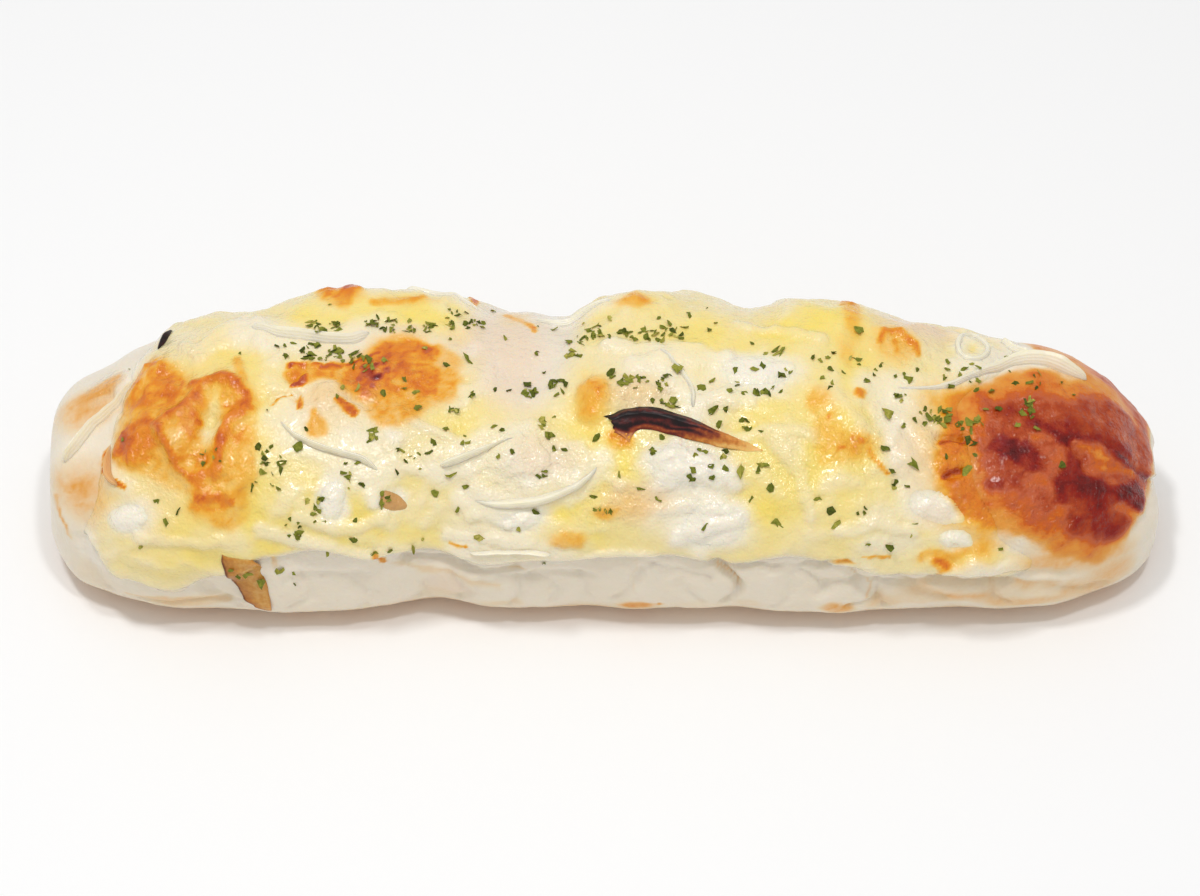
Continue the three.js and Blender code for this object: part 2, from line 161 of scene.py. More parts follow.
cheeseLumps = [  # x, turn, reach along, reach round, rise
    (-39, 128, 17, 6, 2.1), (-60, 112, 9, 7, 1.0), (-76, 70, 4.5, 5, 1.1), (-69, 72, 4, 6, 1.4),
    (-62, 82, 4.5, 4, 1.2), (-60, 52, 6, 6, 1.2), (-74, 34, 7, 5, 0.8), (-46, 40, 8, 7, 0.9),
    (-14, 54, 10, 5, 1.2), (-1.5, 72, 4.2, 6.5, 1.5), (4.5, 122, 8.5, 6, 1.7), (14, 54, 9, 5, 1.3),
    (18, 30, 8, 5, 1.0), (38, 118, 8, 7, 1.5), (37, 70, 6, 7, 0.9), (44, 34, 9, 6, 0.7),
    (52, 112, 7, 5, 0.9), (58, 16, 7, 3, 0.8), (-50, 148, 10, 6, 0.9), (-12, 150, 8, 6, 0.6),
    (13, 148, 8, 6, 0.6), (40, 148, 7, 6, 0.6),
]


def endTaper(x, leftPower, rightPower):
    share = np.minimum(np.abs(x) / (loaf["length"] / 2), 1)
    power = np.where(x < 0, leftPower, rightPower)
    return (1 - share ** power) ** (1 / power)


def roundedPower(value, power):
    return np.sign(value) * np.abs(value) ** (2 / power)


def doughRelief(x, turn):
    bulge = dome["rise"] * bell(np.hypot(x - dome["x"], (turn - dome["turn"]) / turnPerMm) / dome["reach"])
    aboveFold = (turn - blendStops(x, foldLine)) / turnPerMm
    onStep = smoothStep(aboveFold, -fold["blend"] / 2, fold["blend"] / 2)
    started = smoothStep(x, fold["start"], fold["start"] + fold["startBlend"])
    fadesBehind = 1 - smoothStep(turn, fold["fadeFrom"], fold["fadeTo"])
    relief = bulge + fold["step"] * onStep * started * fadesBehind
    return relief * endTaper(x, loaf["backLeft"], loaf["backRight"])


def plainLoafPoint(x, turn):
    share = x / (loaf["length"] / 2)
    front = endTaper(x, loaf["frontLeft"], loaf["frontRight"])
    back = endTaper(x, loaf["backLeft"], loaf["backRight"])
    under = endTaper(x, loaf["under"], loaf["under"])
    floor = loaf["tipHeight"] * (1 - under)
    waist = loaf["tipHeight"] + (loaf["waistHeight"] - loaf["tipHeight"]) * front
    crown = back ** loaf["crownPower"] * (1 - loaf["crownSag"] * share * share)
    crest = loaf["tipHeight"] + (loaf["crestHeight"] - loaf["tipHeight"]) * crown
    crest = crest + blendStops(x, crestSwell) * back
    across = np.cos(np.radians(turn))
    up = np.sin(np.radians(turn))
    power = np.where(up >= 0, loaf["roundAbove"], loaf["roundBelow"])
    frontReach = (loaf["frontReach"] + blendStops(x, frontSwell)) * front
    backReach = (loaf["backReach"] + blendStops(x, backSwell)) * back
    reach = np.where(across >= 0, frontReach, backReach)
    height = np.where(up >= 0, crest - waist, waist - floor + loaf["pressedFlat"] * under)
    y = -loaf["tipDrift"] * share * share - reach * roundedPower(across, power)
    z = waist + height * roundedPower(up, power)
    return np.stack([x + 0 * y, y, np.maximum(z, floor)], -1)


def loafNormal(x, turn):
    nudge, turnNudge = 0.05, 0.5
    limit = loaf["length"] / 2 - nudge
    inside = np.clip(x, -limit, limit)
    ahead = plainLoafPoint(inside + nudge, turn) - plainLoafPoint(inside - nudge, turn)
    around = plainLoafPoint(inside, turn + turnNudge) - plainLoafPoint(inside, turn - turnNudge)
    normal = np.cross(ahead, around)
    return normal / np.maximum(np.linalg.norm(normal, axis=-1, keepdims=True), 1e-9)


# How far a place lies inside each edge of the cheese in mm, and over how many mm the cheese thins there.
def hemParts(x, turn):
    parts = [
        ((turn - blendStops(x, frontHem)) / turnPerMm, hemSoft["front"]),
        ((blendStops(x, backHem) - turn) / turnPerMm, hemSoft["back"]),
        (x - blendStops(turn, leftEdge), hemSoft["left"]),
        (blendStops(turn, rightEdge) - x, hemSoft["right"])]
    for spotX, spotTurn, along, around in bareSpots:
        away = np.hypot((x - spotX) / along, (turn - spotTurn) / turnPerMm / around) - 1
        parts.append((away * min(along, around), hemSoft["bareSpot"]))
    return parts


def insideHem(x, turn):
    return np.min([inside for inside, soft in hemParts(x, turn)[:4]], axis=0)


def cheeseLift(x, turn):
    share = 1.0
    for inside, soft in hemParts(x, turn):
        share = share * (1 - np.exp(-np.maximum(inside, 0) / soft))
    lumps = 0
    for lumpX, lumpTurn, along, around, rise in cheeseLumps:
        lumps = lumps + rise * bell(np.hypot((x - lumpX) / along, (turn - lumpTurn) / turnPerMm / around))
    inside = insideHem(x, turn)
    tucked = cheese["tuck"] * np.maximum(inside / cheese["hemRound"], -1)
    film = cheese["film"] * np.minimum(inside, 1)
    return np.where(inside < 0, tucked, np.maximum(share * (cheese["thickness"] + lumps), film))


# The CAD part is centred on its whole box, so the formula is slid to where the CAD bread lies.
cadLow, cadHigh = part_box("bread")
sideX, sideTurn = np.meshgrid(np.linspace(-80, 80, 161), np.array([0.0, 180.0]))
sideRise = loafNormal(sideX, sideTurn) * doughRelief(sideX, sideTurn)[..., None]
sideY = (plainLoafPoint(sideX, sideTurn) + sideRise)[..., 1]
slideX = (cadLow.x + cadHigh.x) / 2 / mm
slideY = (cadLow.y + cadHigh.y) / 2 / mm - (sideY.min() + sideY.max()) / 2
slide = np.array([slideX, slideY, 0])


def onLoaf(x, turn, lift):
    x, turn = np.broadcast_arrays(np.asarray(x, float), np.asarray(turn, float))
    lift = np.broadcast_to(np.asarray(lift, float), x.shape)
    return plainLoafPoint(x, turn) + loafNormal(x, turn) * (doughRelief(x, turn) + lift)[..., None] + slide


# ---- painting: soft spots, strokes and patches, each laid over the ones before ----


class Field:
    # places on the loaf, with the painted edges made uneven by noise
    def __init__(self, x, turn):
        self.x, self.turn = x, turn
        self.points = plainLoafPoint(x, turn)
        self.along = x + self.unevenness(3.1, 7.7)
        self.round = turn / turnPerMm + self.unevenness(5.3, 9.1)

    def unevenness(self, coarseOffset, fineOffset):
        coarse = softNoise(self.points, 3.2, coarseOffset)
        return 0.75 * coarse + 0.3 * softNoise(self.points, 1.1, fineOffset)

    def distance(self, x, turn, alongReach, aroundReach):
        return np.hypot((self.along - x) / alongReach, (self.round - turn / turnPerMm) / aroundReach)

    def spot(self, x, turn, alongReach, aroundReach, soft):
        return 1 - smoothStep(self.distance(x, turn, alongReach, aroundReach), 1 - soft, 1 + soft)

    def away(self, route):
        best = np.full(self.along.shape, 99.0)
        stops = [(x, turn / turnPerMm) for x, turn in route]
        for (fromX, fromY), (toX, toY) in zip(stops, stops[1:]):
            reachX, reachY = toX - fromX, toY - fromY
            share = (self.along - fromX) * reachX + (self.round - fromY) * reachY
            share = np.clip(share / (reachX ** 2 + reachY ** 2), 0, 1)
            asideX, asideY = self.along - fromX - share * reachX, self.round - fromY - share * reachY
            best = np.minimum(best, np.hypot(asideX, asideY))
        return best

    def stroke(self, route, width, soft):
        return 1 - smoothStep(self.away(route), width / 2 * (1 - soft), width / 2 * (1 + soft))

    def patch(self, outline, soft):
        stops = [(x, turn / turnPerMm) for x, turn in outline]
        inside = np.zeros(self.along.shape, bool)
        for (fromX, fromY), (toX, toY) in zip(stops, stops[1:] + stops[:1]):
            crosses = (fromY > self.round) != (toY > self.round)
            atX = fromX + (self.round - fromY) / (toY - fromY + 1e-12) * (toX - fromX)
            inside ^= crosses & (self.along < atX)
        edge = self.away(outline + outline[:1])
        return smoothStep(np.where(inside, edge, -edge), -soft, soft)


def lay(values, level, mask):
    return values + (level - values) * mask


# ---- the pieces laid in the cheese ----

# node: piece name, route, width mm, thickness mm, and stops of
# place from 0 to 1, share of the width and how far it stands out
onionSlices = {
    "onion_left_diagonal": (
        "sliceLeftDiagonal",
        [(-78.2, 99), (-79.9, 93.5), (-82, 87.5), (-84.4, 80.5), (-86.8, 72), (-89.2, 62)], 5.2, 1.1,
        [(0, 0.5, -0.45), (0.4, 0.9, -0.3), (1, 1.1, -0.3)]),
    "onion_left_edge": (
        "sliceLeftEdge", [(-81.3, 70), (-80.9, 64), (-80.4, 57), (-79.6, 52.5), (-78.3, 49.5)], 2.2, 0.8,
        [(0, 0.45, -0.1), (0.55, 1.5, 0.0), (1, 0.8, 0.15)]),
    "onion_back_left": (
        "sliceBackLeft", [(-59, 109), (-53, 104.5), (-47.5, 101.5), (-42, 102), (-38.8, 107)], 4.0, 1.0,
        [(0, 0.8, -0.42), (0.5, 1.2, -0.36), (1, 0.9, -0.32)]),
    "onion_back_ridge": (
        "sliceBackRidge", [(-34, 137), (-29, 134), (-24.5, 129), (-21, 124)], 2.6, 0.8,
        [(0, 0.9, -0.4), (1, 0.8, -0.4)]),
    "onion_back_middle": (
        "sliceBackMiddle", [(-12.5, 124), (-9, 121.5), (-5, 122), (-1.5, 119.5), (2, 120)], 2.8, 0.8,
        [(0, 0.6, -0.45), (0.6, 1.0, -0.3), (1, 0.8, -0.4)]),
    "onion_lower_left": (
        "sliceLowerLeft", [(-53, 70), (-50.5, 64.5), (-47, 60.3), (-42.5, 57), (-39, 54), (-36.5, 49)], 4.0,
        0.9, [(0, 0.6, -0.45), (0.5, 1.0, -0.37), (0.8, 1.1, -0.37), (1, 0.5, -0.4)]),
    "onion_middle": (
        "sliceMiddle", [(-26.8, 50.5), (-24, 53.5), (-20.2, 58), (-17, 61), (-14, 63)], 3.6, 0.9,
        [(0, 1.25, -0.34), (0.3, 1.2, -0.2), (1, 0.35, -0.15)]),
    "onion_crescent": (
        "sliceCrescent", [(-22.5, 40.5), (-17, 39), (-10.5, 40.5), (-5.5, 44.5), (-2.2, 49), (-0.3, 54)],
        2.7, 1.1, [(0, 0.6, -0.35), (0.35, 1.2, 0.0), (0.75, 0.95, 0.1), (1, 0.25, 0.0)]),
    "onion_front": (
        "sliceFront", [(-22, 18.5), (-17, 20), (-12, 20.5), (-8.5, 19.5)], 3.6, 0.8,
        [(0, 0.8, -0.42), (1, 0.9, -0.38)]),
    "onion_upper_middle": (
        "sliceUpperMiddle", [(8.5, 94), (11.5, 88), (14, 80), (14.2, 72)], 2.8, 0.8,
        [(0, 0.7, -0.45), (1, 0.9, -0.47)]),
    "onion_long_right": (
        "sliceLongRight",
        [
            (43, 84.5), (48, 84), (54, 86), (59, 90.3), (63.8, 97), (68, 104.5), (72.5, 106.5), (76, 104),
            (79.8, 102)],
        3.0, 1.2, [(0, 0.5, -0.5), (0.45, 0.8, -0.3), (0.68, 1.15, 0.1), (0.9, 1.5, 0.3), (1, 1.5, 0.55)]),
    "onion_right_branch": (
        "sliceRightBranch", [(66.4, 121.5), (67.8, 117.5), (69.4, 114.5), (71, 112.2)], 2.2, 0.9,
        [(0, 0.9, -0.2), (1, 1.0, -0.2)]),
    "onion_ring": (
        "sliceRing",
        [(58.7, 107), (59.6, 116), (61.8, 120.5), (63.8, 113), (63.2, 105.5), (61.4, 100.5), (59.4, 101)],
        1.8, 0.9, [(0, 1.3, -0.5), (0.4, 0.9, -0.4), (0.7, 1.2, -0.56), (1, 1.3, -0.5)]),
}
# node: piece name, x, turn, length, width, height, skew in degrees, how pointed its right end is
whiteChunks = {
    "chunk_far_left": ("bitFarLeft", -77, 36.5, 7, 4.8, 0.7, 20, 0),
    "chunk_left": ("bitLeft", -44, 41, 3.8, 5.8, 0.8, -10, 0),
    "chunk_tan": ("bitTan", -34.8, 38.5, 4.2, 2.7, 0.7, -28, 0.45),
    "chunk_middle": ("bitMiddle", -13.5, 32.5, 6.4, 3, 0.6, 18, 0),
    "chunk_upper": ("bitUpper", 25, 87.5, 12, 5, 0.5, 4, 0),
    "chunk_lower": ("bitLower", 17.5, 31, 10.5, 6.6, 0.8, 16, 0),
    "chunk_centre": ("bitCentre", 13, 51.5, 11, 5.8, 0.8, -10, 0),
    "chunk_right": ("bitRight", 53.2, 41, 8.6, 5.6, 0.55, -24, 0.34),
    "chunk_right_low": ("bitRightLow", 57, 28, 6, 3.4, 0.4, 4, 0),
}

# ---- what is painted; toast is 0 raw, 0.3 golden, 0.5 orange-brown, 0.7 red-brown and 1 burnt ----

toastHaloes = [  # x, turn, reach along, reach round, level
    (-86.4, 92, 5.6, 6.4, 0.24), (-85.6, 47, 7.0, 8.0, 0.22), (-86.4, 46, 3.4, 4.6, 0.28),
    (-78, 28, 7, 5, 0.06), (-68, 64, 15, 21, 0.13), (-59, 60, 4, 9, 0.17), (-40, 84, 15, 10, 0.13),
    (-2, 75, 5, 6.5, 0.10), (38, 66, 8, 11, 0.10), (46, 104, 8, 8, 0.12), (54, 62, 6, 14, 0.16),
    (57.5, 80, 7, 5, 0.24), (57, 46, 6, 8, 0.25), (60.5, 27, 6, 4.5, 0.22), (81, 16, 7, 6, 0.25),
    (-15, 124, 3, 4, 0.16), (5, 78, 5, 2.6, 0.12), (4.5, 39, 5, 3.2, 0.16), (-6.5, 26, 4.6, 2.6, 0.12),
    (5, 118, 4, 3, 0.18), (56, 20, 6, 3, 0.16), (-33, 124, 7, 2, 0.18), (-46, 78, 6, 5, 0.15),
    (74, 22, 6, 4, 0.2), (74.5, 15, 8, 4, 0.24), (58, -1, 9, 3.4, 0.27), (74, -4, 9, 3, 0.22),
    (84, -1, 6, 6, 0.21),
]
darkEnd = [
    (56.5, 84), (60, 88), (65, 94), (69, 100.5), (73, 102), (78, 99), (81.5, 100.5), (81.5, 108), (76, 111),
    (74, 118), (74, 135), (86, 142), (93, 120), (93, 66), (90, 60), (89.5, 46), (88.5, 38), (86.5, 30),
    (85, 23), (83, 14), (81.5, 11), (79.5, 12), (77, 14), (73, 22), (68, 30), (62, 32.5), (57.5, 36.5),
    (55, 44), (54.2, 52), (53.8, 60), (55.5, 74)]
toastPatches = [  # outline, level, softness in mm
    ([
        (-75, 104), (-73, 99), (-71, 94), (-67.5, 89), (-68, 83.5), (-72, 80), (-79, 79), (-79.5, 87),
        (-78.3, 94), (-76.8, 99.5)], 0.37, 2.2),
    ([
        (-80, 74), (-74, 79), (-67, 84), (-63, 88), (-58.5, 84), (-56.5, 77), (-57.5, 70), (-57.5, 62),
        (-57, 52), (-57.5, 42), (-60, 34), (-65.5, 36), (-67, 45), (-70, 50), (-74, 54), (-78, 58)
    ], 0.30, 2.4),
    ([
        (-37.5, 103), (-31, 103), (-27.5, 99), (-24, 92), (-23.5, 85), (-27, 77), (-33, 70), (-37, 71),
        (-39, 78), (-43, 84), (-43, 90), (-38.5, 94)], 0.37, 3.0),
    (darkEnd, 0.40, 1.8),
    ([
        (61, 84), (68, 89), (76, 92), (86, 96), (92, 84), (92, 66), (89, 56), (88, 44), (85, 32), (80, 22),
        (74, 27), (67, 36), (62, 44), (60.5, 56), (60, 72)], 0.53, 2.2),
    ([
        (64, 82), (70, 87), (78, 88), (88, 92), (92, 80), (91, 66), (88.5, 55), (86, 44), (80, 34),
        (73, 40), (67, 46), (63, 56), (62, 70)], 0.60, 1.6),
    ([
        (62.5, 66), (64.8, 71), (67, 69.5), (69.5, 70), (71, 64), (71, 56), (68.5, 55.5), (66, 61),
        (62.8, 62.5)], 0.77, 0.5),
    ([
        (75.5, 68), (78.5, 63), (79.2, 57.5), (83.5, 51), (86.2, 53.5), (87.2, 59), (88.8, 53.5),
        (88.8, 37.5), (84.5, 45.5), (81, 36.5), (78.2, 39.5), (75.8, 41.5), (72.5, 43.5), (73.2, 52.5),
        (75, 59)], 0.78, 0.6),
    ([(36.6, 14), (37.2, 18), (39.6, 19), (41, 17), (38, 14.6)], 0.34, 0.9),
    ([
        (72, 121), (75, 112), (77, 105), (79, 98), (91, 92), (95, 110), (90, 136), (78, 146), (70, 136)
    ], 0.40, 1.4),
    ([(82, 116), (86, 108), (91, 98), (95, 110), (90, 132), (82, 132)], 0.56, 2.4),
]
toastSpots = [  # x, turn, reach along, reach round, level
    (-72, 84, 4.6, 2.4, 0.36), (-71.8, 83.5, 1.7, 0.9, 0.46), (-76.5, 65.5, 2.6, 3.4, 0.41),
    (-77, 65, 1.3, 1.8, 0.48), (-70, 69, 2.6, 4.0, 0.30), (-69.6, 66, 1.3, 2.4, 0.27),
    (-58.8, 52.5, 2.2, 3.4, 0.24), (-66, 60, 1.6, 2.2, 0.27), (-61.5, 60, 1.8, 3.0, 0.25),
    (-64, 68, 1.8, 2.8, 0.2), (-64.4, 41, 1.8, 1.8, 0.36), (-60.5, 38, 2.4, 2.8, 0.25),
    (-63.8, 72, 1.3, 4.2, 0.10), (-60.5, 80, 1.6, 1.6, 0.24), (-34, 95, 3.4, 3.6, 0.44),
    (-28.5, 90, 3.0, 4.4, 0.40), (-25.5, 86, 1.4, 3.8, 0.30), (-39.5, 86, 3.4, 2.8, 0.42),
    (-33.5, 74, 4.2, 3.2, 0.27), (-27, 95, 1.8, 2.4, 0.27), (-34.5, 83, 2.6, 2.0, 0.36),
    (-31, 100, 3.4, 1.2, 0.42), (-38.4, 88.4, 1.0, 0.6, 0.74), (-36.9, 86.8, 0.7, 0.5, 0.80),
    (-37.4, 90.6, 0.6, 0.4, 0.72), (-35.8, 89, 0.5, 0.4, 0.66), (-40, 86.4, 0.7, 0.5, 0.64),
    (-37.5, 84, 0.5, 0.4, 0.62), (-39.4, 90.3, 0.5, 0.4, 0.66), (-36.2, 92.4, 0.4, 0.4, 0.60),
    (-46.8, 66.5, 1.6, 1.6, 0.28), (-44.5, 128, 3.6, 4, 0.38), (-43, 133, 1.4, 4, 0.50),
    (-22, 136, 0.8, 4, 0.42), (-1.7, 76, 2.9, 3.9, 0.24), (-1.9, 79, 2.2, 2.4, 0.31),
    (2.6, 62, 2.2, 1.8, 0.30), (0.5, 36, 2.4, 1, 0.22), (-6.2, 24.8, 3.2, 1.5, 0.25),
    (5, 118, 2.2, 1.8, 0.30), (34.8, 74, 2.0, 3.2, 0.22), (36, 66, 2.2, 3, 0.20), (40, 61, 3.6, 2.4, 0.27),
    (37, 58, 3, 1.8, 0.22), (40, 63, 0.6, 0.5, 0.40), (42, 61.5, 0.5, 0.5, 0.42),
    (38, 60.5, 0.5, 0.5, 0.36), (36, 69, 0.5, 0.5, 0.34), (41.5, 80.3, 1.0, 0.7, 0.38),
    (41, 118, 1.9, 7, 0.22), (39.5, 97, 1.8, 3.6, 0.17), (41, 130, 1.8, 5, 0.30),
    (47.5, 102, 3.4, 3.8, 0.22), (47.6, 102, 0.6, 1.6, 0.36), (54.8, 18, 1.3, 1.3, 0.36),
    (55.2, 17.5, 0.7, 0.7, 0.42), (63.4, 50.5, 1.7, 1.2, 0.72), (79.5, 51, 2.2, 2.4, 0.84),
    (84, 47, 1.8, 1.8, 0.82), (67.6, 64.5, 1.5, 1.4, 0.83), (87.8, 46, 0.8, 3.0, 0.79),
    (76, 34, 6, 2.4, 0.52), (81, 28, 3, 3, 0.50), (83.5, 60.5, 2.2, 1.0, 0.46),
    (71.5, 70.5, 1.6, 1.2, 0.48), (75, 89, 4.0, 1.6, 0.47), (80.2, 93, 3.0, 1.6, 0.46),
    (79, 83.5, 5.0, 1.8, 0.66), (70.5, 80.5, 2.6, 1.4, 0.66), (76, 125, 3, 10, 0.38),
    (79.5, 35, 4.4, 3.6, 0.73), (83.5, 30, 2.6, 3.4, 0.70), (70, 40, 3.4, 2.0, 0.60),
    (84.5, 84, 4.4, 4.0, 0.61), (80, 136, 4, 3, 0.34),
]
rimLeft = [(-71.2, 65), (-72.3, 70), (-70.4, 74), (-67.4, 76.8), (-65.6, 72)]
rimLow = [(-71, 64.5), (-68.8, 56), (-66.2, 50.5), (-63, 53), (-61.9, 57)]
rimRight = [
    (-66.4, 79.5), (-65.4, 84), (-62, 86), (-58.6, 80), (-57.8, 74.5), (-61.4, 70), (-62, 62.5), (-62, 57)]
# Browning strokes; two of them are painted shade under overhangs, marked where they stand.
toastAndShadeStrokes = [  # route, width, level
    ([(-87.4, 93), (-85, 99), (-82.6, 104)], 4.0, 0.26),
    ([(-90.6, 40), (-89.9, 29), (-88.8, 17)], 1.2, 0.24),
    ([(-81.9, 70), (-82.3, 64), (-81.9, 57)], 0.7, 0.60), ([(-79.4, 52), (-78, 49)], 0.7, 0.50),
    ([(-74.4, 67.5), (-73.4, 72), (-76.4, 72.8), (-79, 68.5), (-79, 62)], 1.0, 0.42), (rimLeft, 1.2, 0.45),
    (rimLow, 1.2, 0.41), (rimRight, 1.4, 0.40), ([(-67, 84), (-63, 87.5), (-60, 84)], 1.0, 0.42),
    ([(-60.5, 73.5), (-58.2, 76.5)], 1.2, 0.44), ([(-65.2, 43), (-62.2, 43.8), (-60.6, 41.2)], 1.2, 0.42),
    ([(-60.3, 93.5), (-59.6, 90), (-59, 86)], 1.5, 0.25),
    ([(-51, 88.4), (-46, 88.4), (-41.5, 88.6)], 2.4, 0.33),
    ([(-51.5, 91.2), (-45, 91.4), (-40, 93.2), (-37.5, 96)], 0.45, 0.58),
    ([(-50.9, 84.4), (-49.2, 86.6)], 0.8, 0.60), ([(-54, 77), (-51.5, 80.8)], 0.5, 0.44),
    ([(-50.5, 78), (-49.8, 73.6)], 0.7, 0.44), ([(-43.6, 75.6), (-40.6, 71.6)], 1.0, 0.50),
    ([(-47.6, 71), (-46.4, 66)], 1.4, 0.24), ([(-39, 122), (-35, 124), (-31, 125)], 1.6, 0.27),
    ([(-16.5, 127), (-14, 121), (-11.5, 112.5)], 1.3, 0.30),
    ([(-25, 20.6), (-23.4, 19.4), (-22.4, 20)], 0.7, 0.30), ([(-37.6, 18), (-36.4, 11.5)], 1.1, 0.38),
    # painted shade: a faint browning stroke standing in for the shadow under the crescent onion slice
    ([(-6.5, 41.5), (-4.2, 42.6), (-2.5, 46)], 0.8, 0.10),
    ([(42.5, 59), (43.5, 55.5), (45.5, 52)], 0.7, 0.38),
    ([(44.8, 103), (46.2, 108), (48.5, 108.5), (50.5, 104), (51.2, 98.5)], 1.1, 0.35),
    ([(54.8, 16), (54.6, 10)], 0.9, 0.24), ([(51.8, 20), (54, 21), (57, 22.5), (62, 24.5)], 1.5, 0.25),
    ([(54.6, 66.2), (58.4, 67.2)], 0.8, 0.62), ([(55, 51.8), (56.2, 54.2), (57.6, 55)], 0.8, 0.66),
    ([(42, 20), (46, 19.6)], 0.5, 0.30),
    ([(69.8, 76.5), (74.5, 71.5), (78, 73.5), (81, 75), (84.5, 67.8), (89.8, 62.2)], 2.2, 0.77),
    ([(74, 76), (80, 78), (86, 73)], 2.4, 0.69), ([(76.5, 71), (82, 65), (87, 61)], 1.3, 0.48),
    # painted shade: a pale tan band along the crease under the overhanging cheese lip, standing in for its
    # shadow
    ([(-35, 9), (-30.5, 4.5), (-25.5, 3.6), (-20.5, 1.6), (-17.2, 0.4)], 1.3, 0.15),
    ([(-17.4, 8), (-15, 7.6), (-13, 8.2)], 0.6, 0.16), ([(18, 11), (20.5, 6.5), (21.6, 0)], 0.8, 0.20),
    ([(40, 12.5), (41, 7), (42.6, 4.5), (43.4, 1), (43, -3)], 0.7, 0.18),
    ([(54, 2), (64, 1), (74, -2)], 3.0, 0.12), ([(68, 1.4), (74, 0)], 1.2, 0.2),
    ([(-79, -8), (-72, -4.5), (-66, -6.5), (-62, -11)], 1.4, 0.18), ([(-54.5, 18), (-54, 12)], 0.9, 0.2),
    ([(5.2, 14), (4.4, 5), (5, -2)], 0.7, 0.1), ([(63, 4), (64, -3)], 0.7, 0.16),
]
crustSpots = [  # browning low on the bare dough
    (5.5, -16, 3.2, 2.4, 0.34), (9, -12, 0.5, 1.0, 0.5), (38.5, -12, 2.6, 2.4, 0.28),
    (46, -8, 3.4, 2.6, 0.18), (52, -7, 5, 2.2, 0.14), (72.5, -5, 2.8, 1.4, 0.22), (68, -9, 7, 2.4, 0.2),
    (81, -11, 6, 3, 0.18), (-70, -10, 8, 3, 0.17), (-27, -11, 4, 3, 0.12), (-17, -13, 4, 2, 0.14),
    (24, -12, 3, 2.4, 0.12), (-85, -6, 4, 5, 0.1), (15, -13, 5, 2, 0.1),
]
yellowSpots = [  # x, turn, reach along, reach round, share; the white, pink and wet ones too
    (-65, 108, 3, 6, 0.5), (-67, 95, 3, 3, 0.5), (-73, 20, 8, 5, 0.45), (-71.5, 16, 1.6, 2.0, 0.7),
    (-71, 11, 2.2, 1.2, 0.5), (-80, 18, 4, 5, 0.3), (-66, 30, 5, 6, 0.9), (-57, 27, 6, 7, 1.0),
    (-52, 42, 6, 8, 0.9), (-55, 62, 4, 8, 0.9), (-47, 52, 6, 6, 0.6), (-47, 113, 6, 4, 1.0),
    (-42, 119, 7, 4, 0.7), (-38, 46, 4, 5, 0.5), (-40, 27, 7, 4, 1.0), (-33, 23, 8, 4, 0.8),
    (-61, 92, 5, 6, 0.8), (-27.5, 56, 2.0, 1.6, 1), (-25, 63, 4, 4, 0.7), (-15, 73, 8, 6, 0.8),
    (-20, 80, 3, 4, 0.5), (-30, 115, 7, 5, 0.8), (-35, 108, 6, 4, 0.8), (-6, 36, 6, 4, 1.0),
    (-6.5, 25, 6, 4, 1.0), (-1, 62, 4, 5, 0.9), (1, 53, 4, 6, 0.9), (-2, 105, 6, 3, 0.7),
    (8, 104, 7, 3, 0.7), (4, 112, 9, 5, 0.5), (14, 110, 8, 5, 0.55), (13, 92, 7, 4, 0.9),
    (20, 97, 6, 5, 0.8), (25, 96, 5, 4, 0.6), (25, 70, 4, 8, 0.7), (28, 40, 4, 9, 1.0), (26, 56, 4, 8, 0.8),
    (33, 50, 6, 12, 0.9), (38, 44, 7, 9, 0.9), (43, 48, 5, 6, 0.8), (31, 108, 6, 6, 1.0),
    (36, 104, 5, 7, 0.9), (39, 114, 5, 8, 0.9), (42, 92, 5, 6, 0.7), (33, 86, 5, 6, 0.6),
    (39, 74, 5, 6, 0.8), (36, 34, 7, 5, 0.7), (30, 26, 6, 4, 0.45), (22, 24, 3, 4, 0.5),
    (-10, 18, 8, 3, 0.4), (12, 20, 8, 2.6, 0.3), (33, 19, 6, 2, 0.5), (47, 40, 5, 6, 0.45),
    (50, 92, 5, 3, 0.5), (-1.5, 70, 4, 3, 0.9), (62, 110, 1.8, 3.2, 0.7), (67.4, 110.5, 1.2, 2, 0.9),
    (71.5, 123.5, 1.6, 2, 0.8), (58, 26, 5, 4, 0.8), (54, 84, 4, 3, 0.9),
]
whiteSpots = [
    (-77, 38, 4, 2.6, 0.6), (-84.5, 12, 2.4, 4.5, 0.6), (-70, 112, 3.5, 4, 0.3), (-57, 104, 6, 2.2, 0.6),
    (-48, 76, 5, 5, 0.75), (-38, 65, 6, 3.4, 0.6), (-44, 42, 2.2, 3.4, 0.95), (-45, 12, 8, 4, 0.4),
    (-20, 25, 6, 4, 0.5), (-13, 36, 3, 2.6, 0.6), (-12, 52, 8, 4.5, 0.7), (-22.5, 99, 1.6, 1.4, 0.9),
    (12, 54, 4.5, 3, 0.8), (17, 45, 4, 4, 0.7), (16, 31, 5, 4, 0.95), (10, 38, 4, 4, 0.6),
    (10, 90, 7, 3, 0.5), (18, 85, 6, 3, 0.4), (25, 87, 7, 3, 0.4), (50, 66, 5, 6, 0.85),
    (48, 78, 5, 3, 0.7), (52, 54, 4.4, 5, 0.85), (54, 46, 4, 3, 0.8), (53.5, 39, 3.4, 3, 0.9),
    (45, 36, 3, 2, 0.4), (47, 25, 5, 2, 0.5), (62, 15, 4.5, 1.6, 0.85), (66, 98, 6, 3, 0.5),
    (61, 90, 2, 0.8, 0.8),
]
pinkSpots = [
    (52, 120, 6, 6, 0.8), (-23, 104, 4, 4, 0.5), (-16, 105, 6, 12, 0.55), (-33, 107, 4, 1.6, 0.5),
    (5, 78, 5, 3, 0.6), (5, 40, 5, 3, 0.7), (-46, 75, 4, 4, 0.4), (-10, 56, 5, 3, 0.4), (50, 60, 4, 5, 0.4),
    (-26, -2, 4, 3, 0.4), (54, 37, 3, 2, 0.4),
]
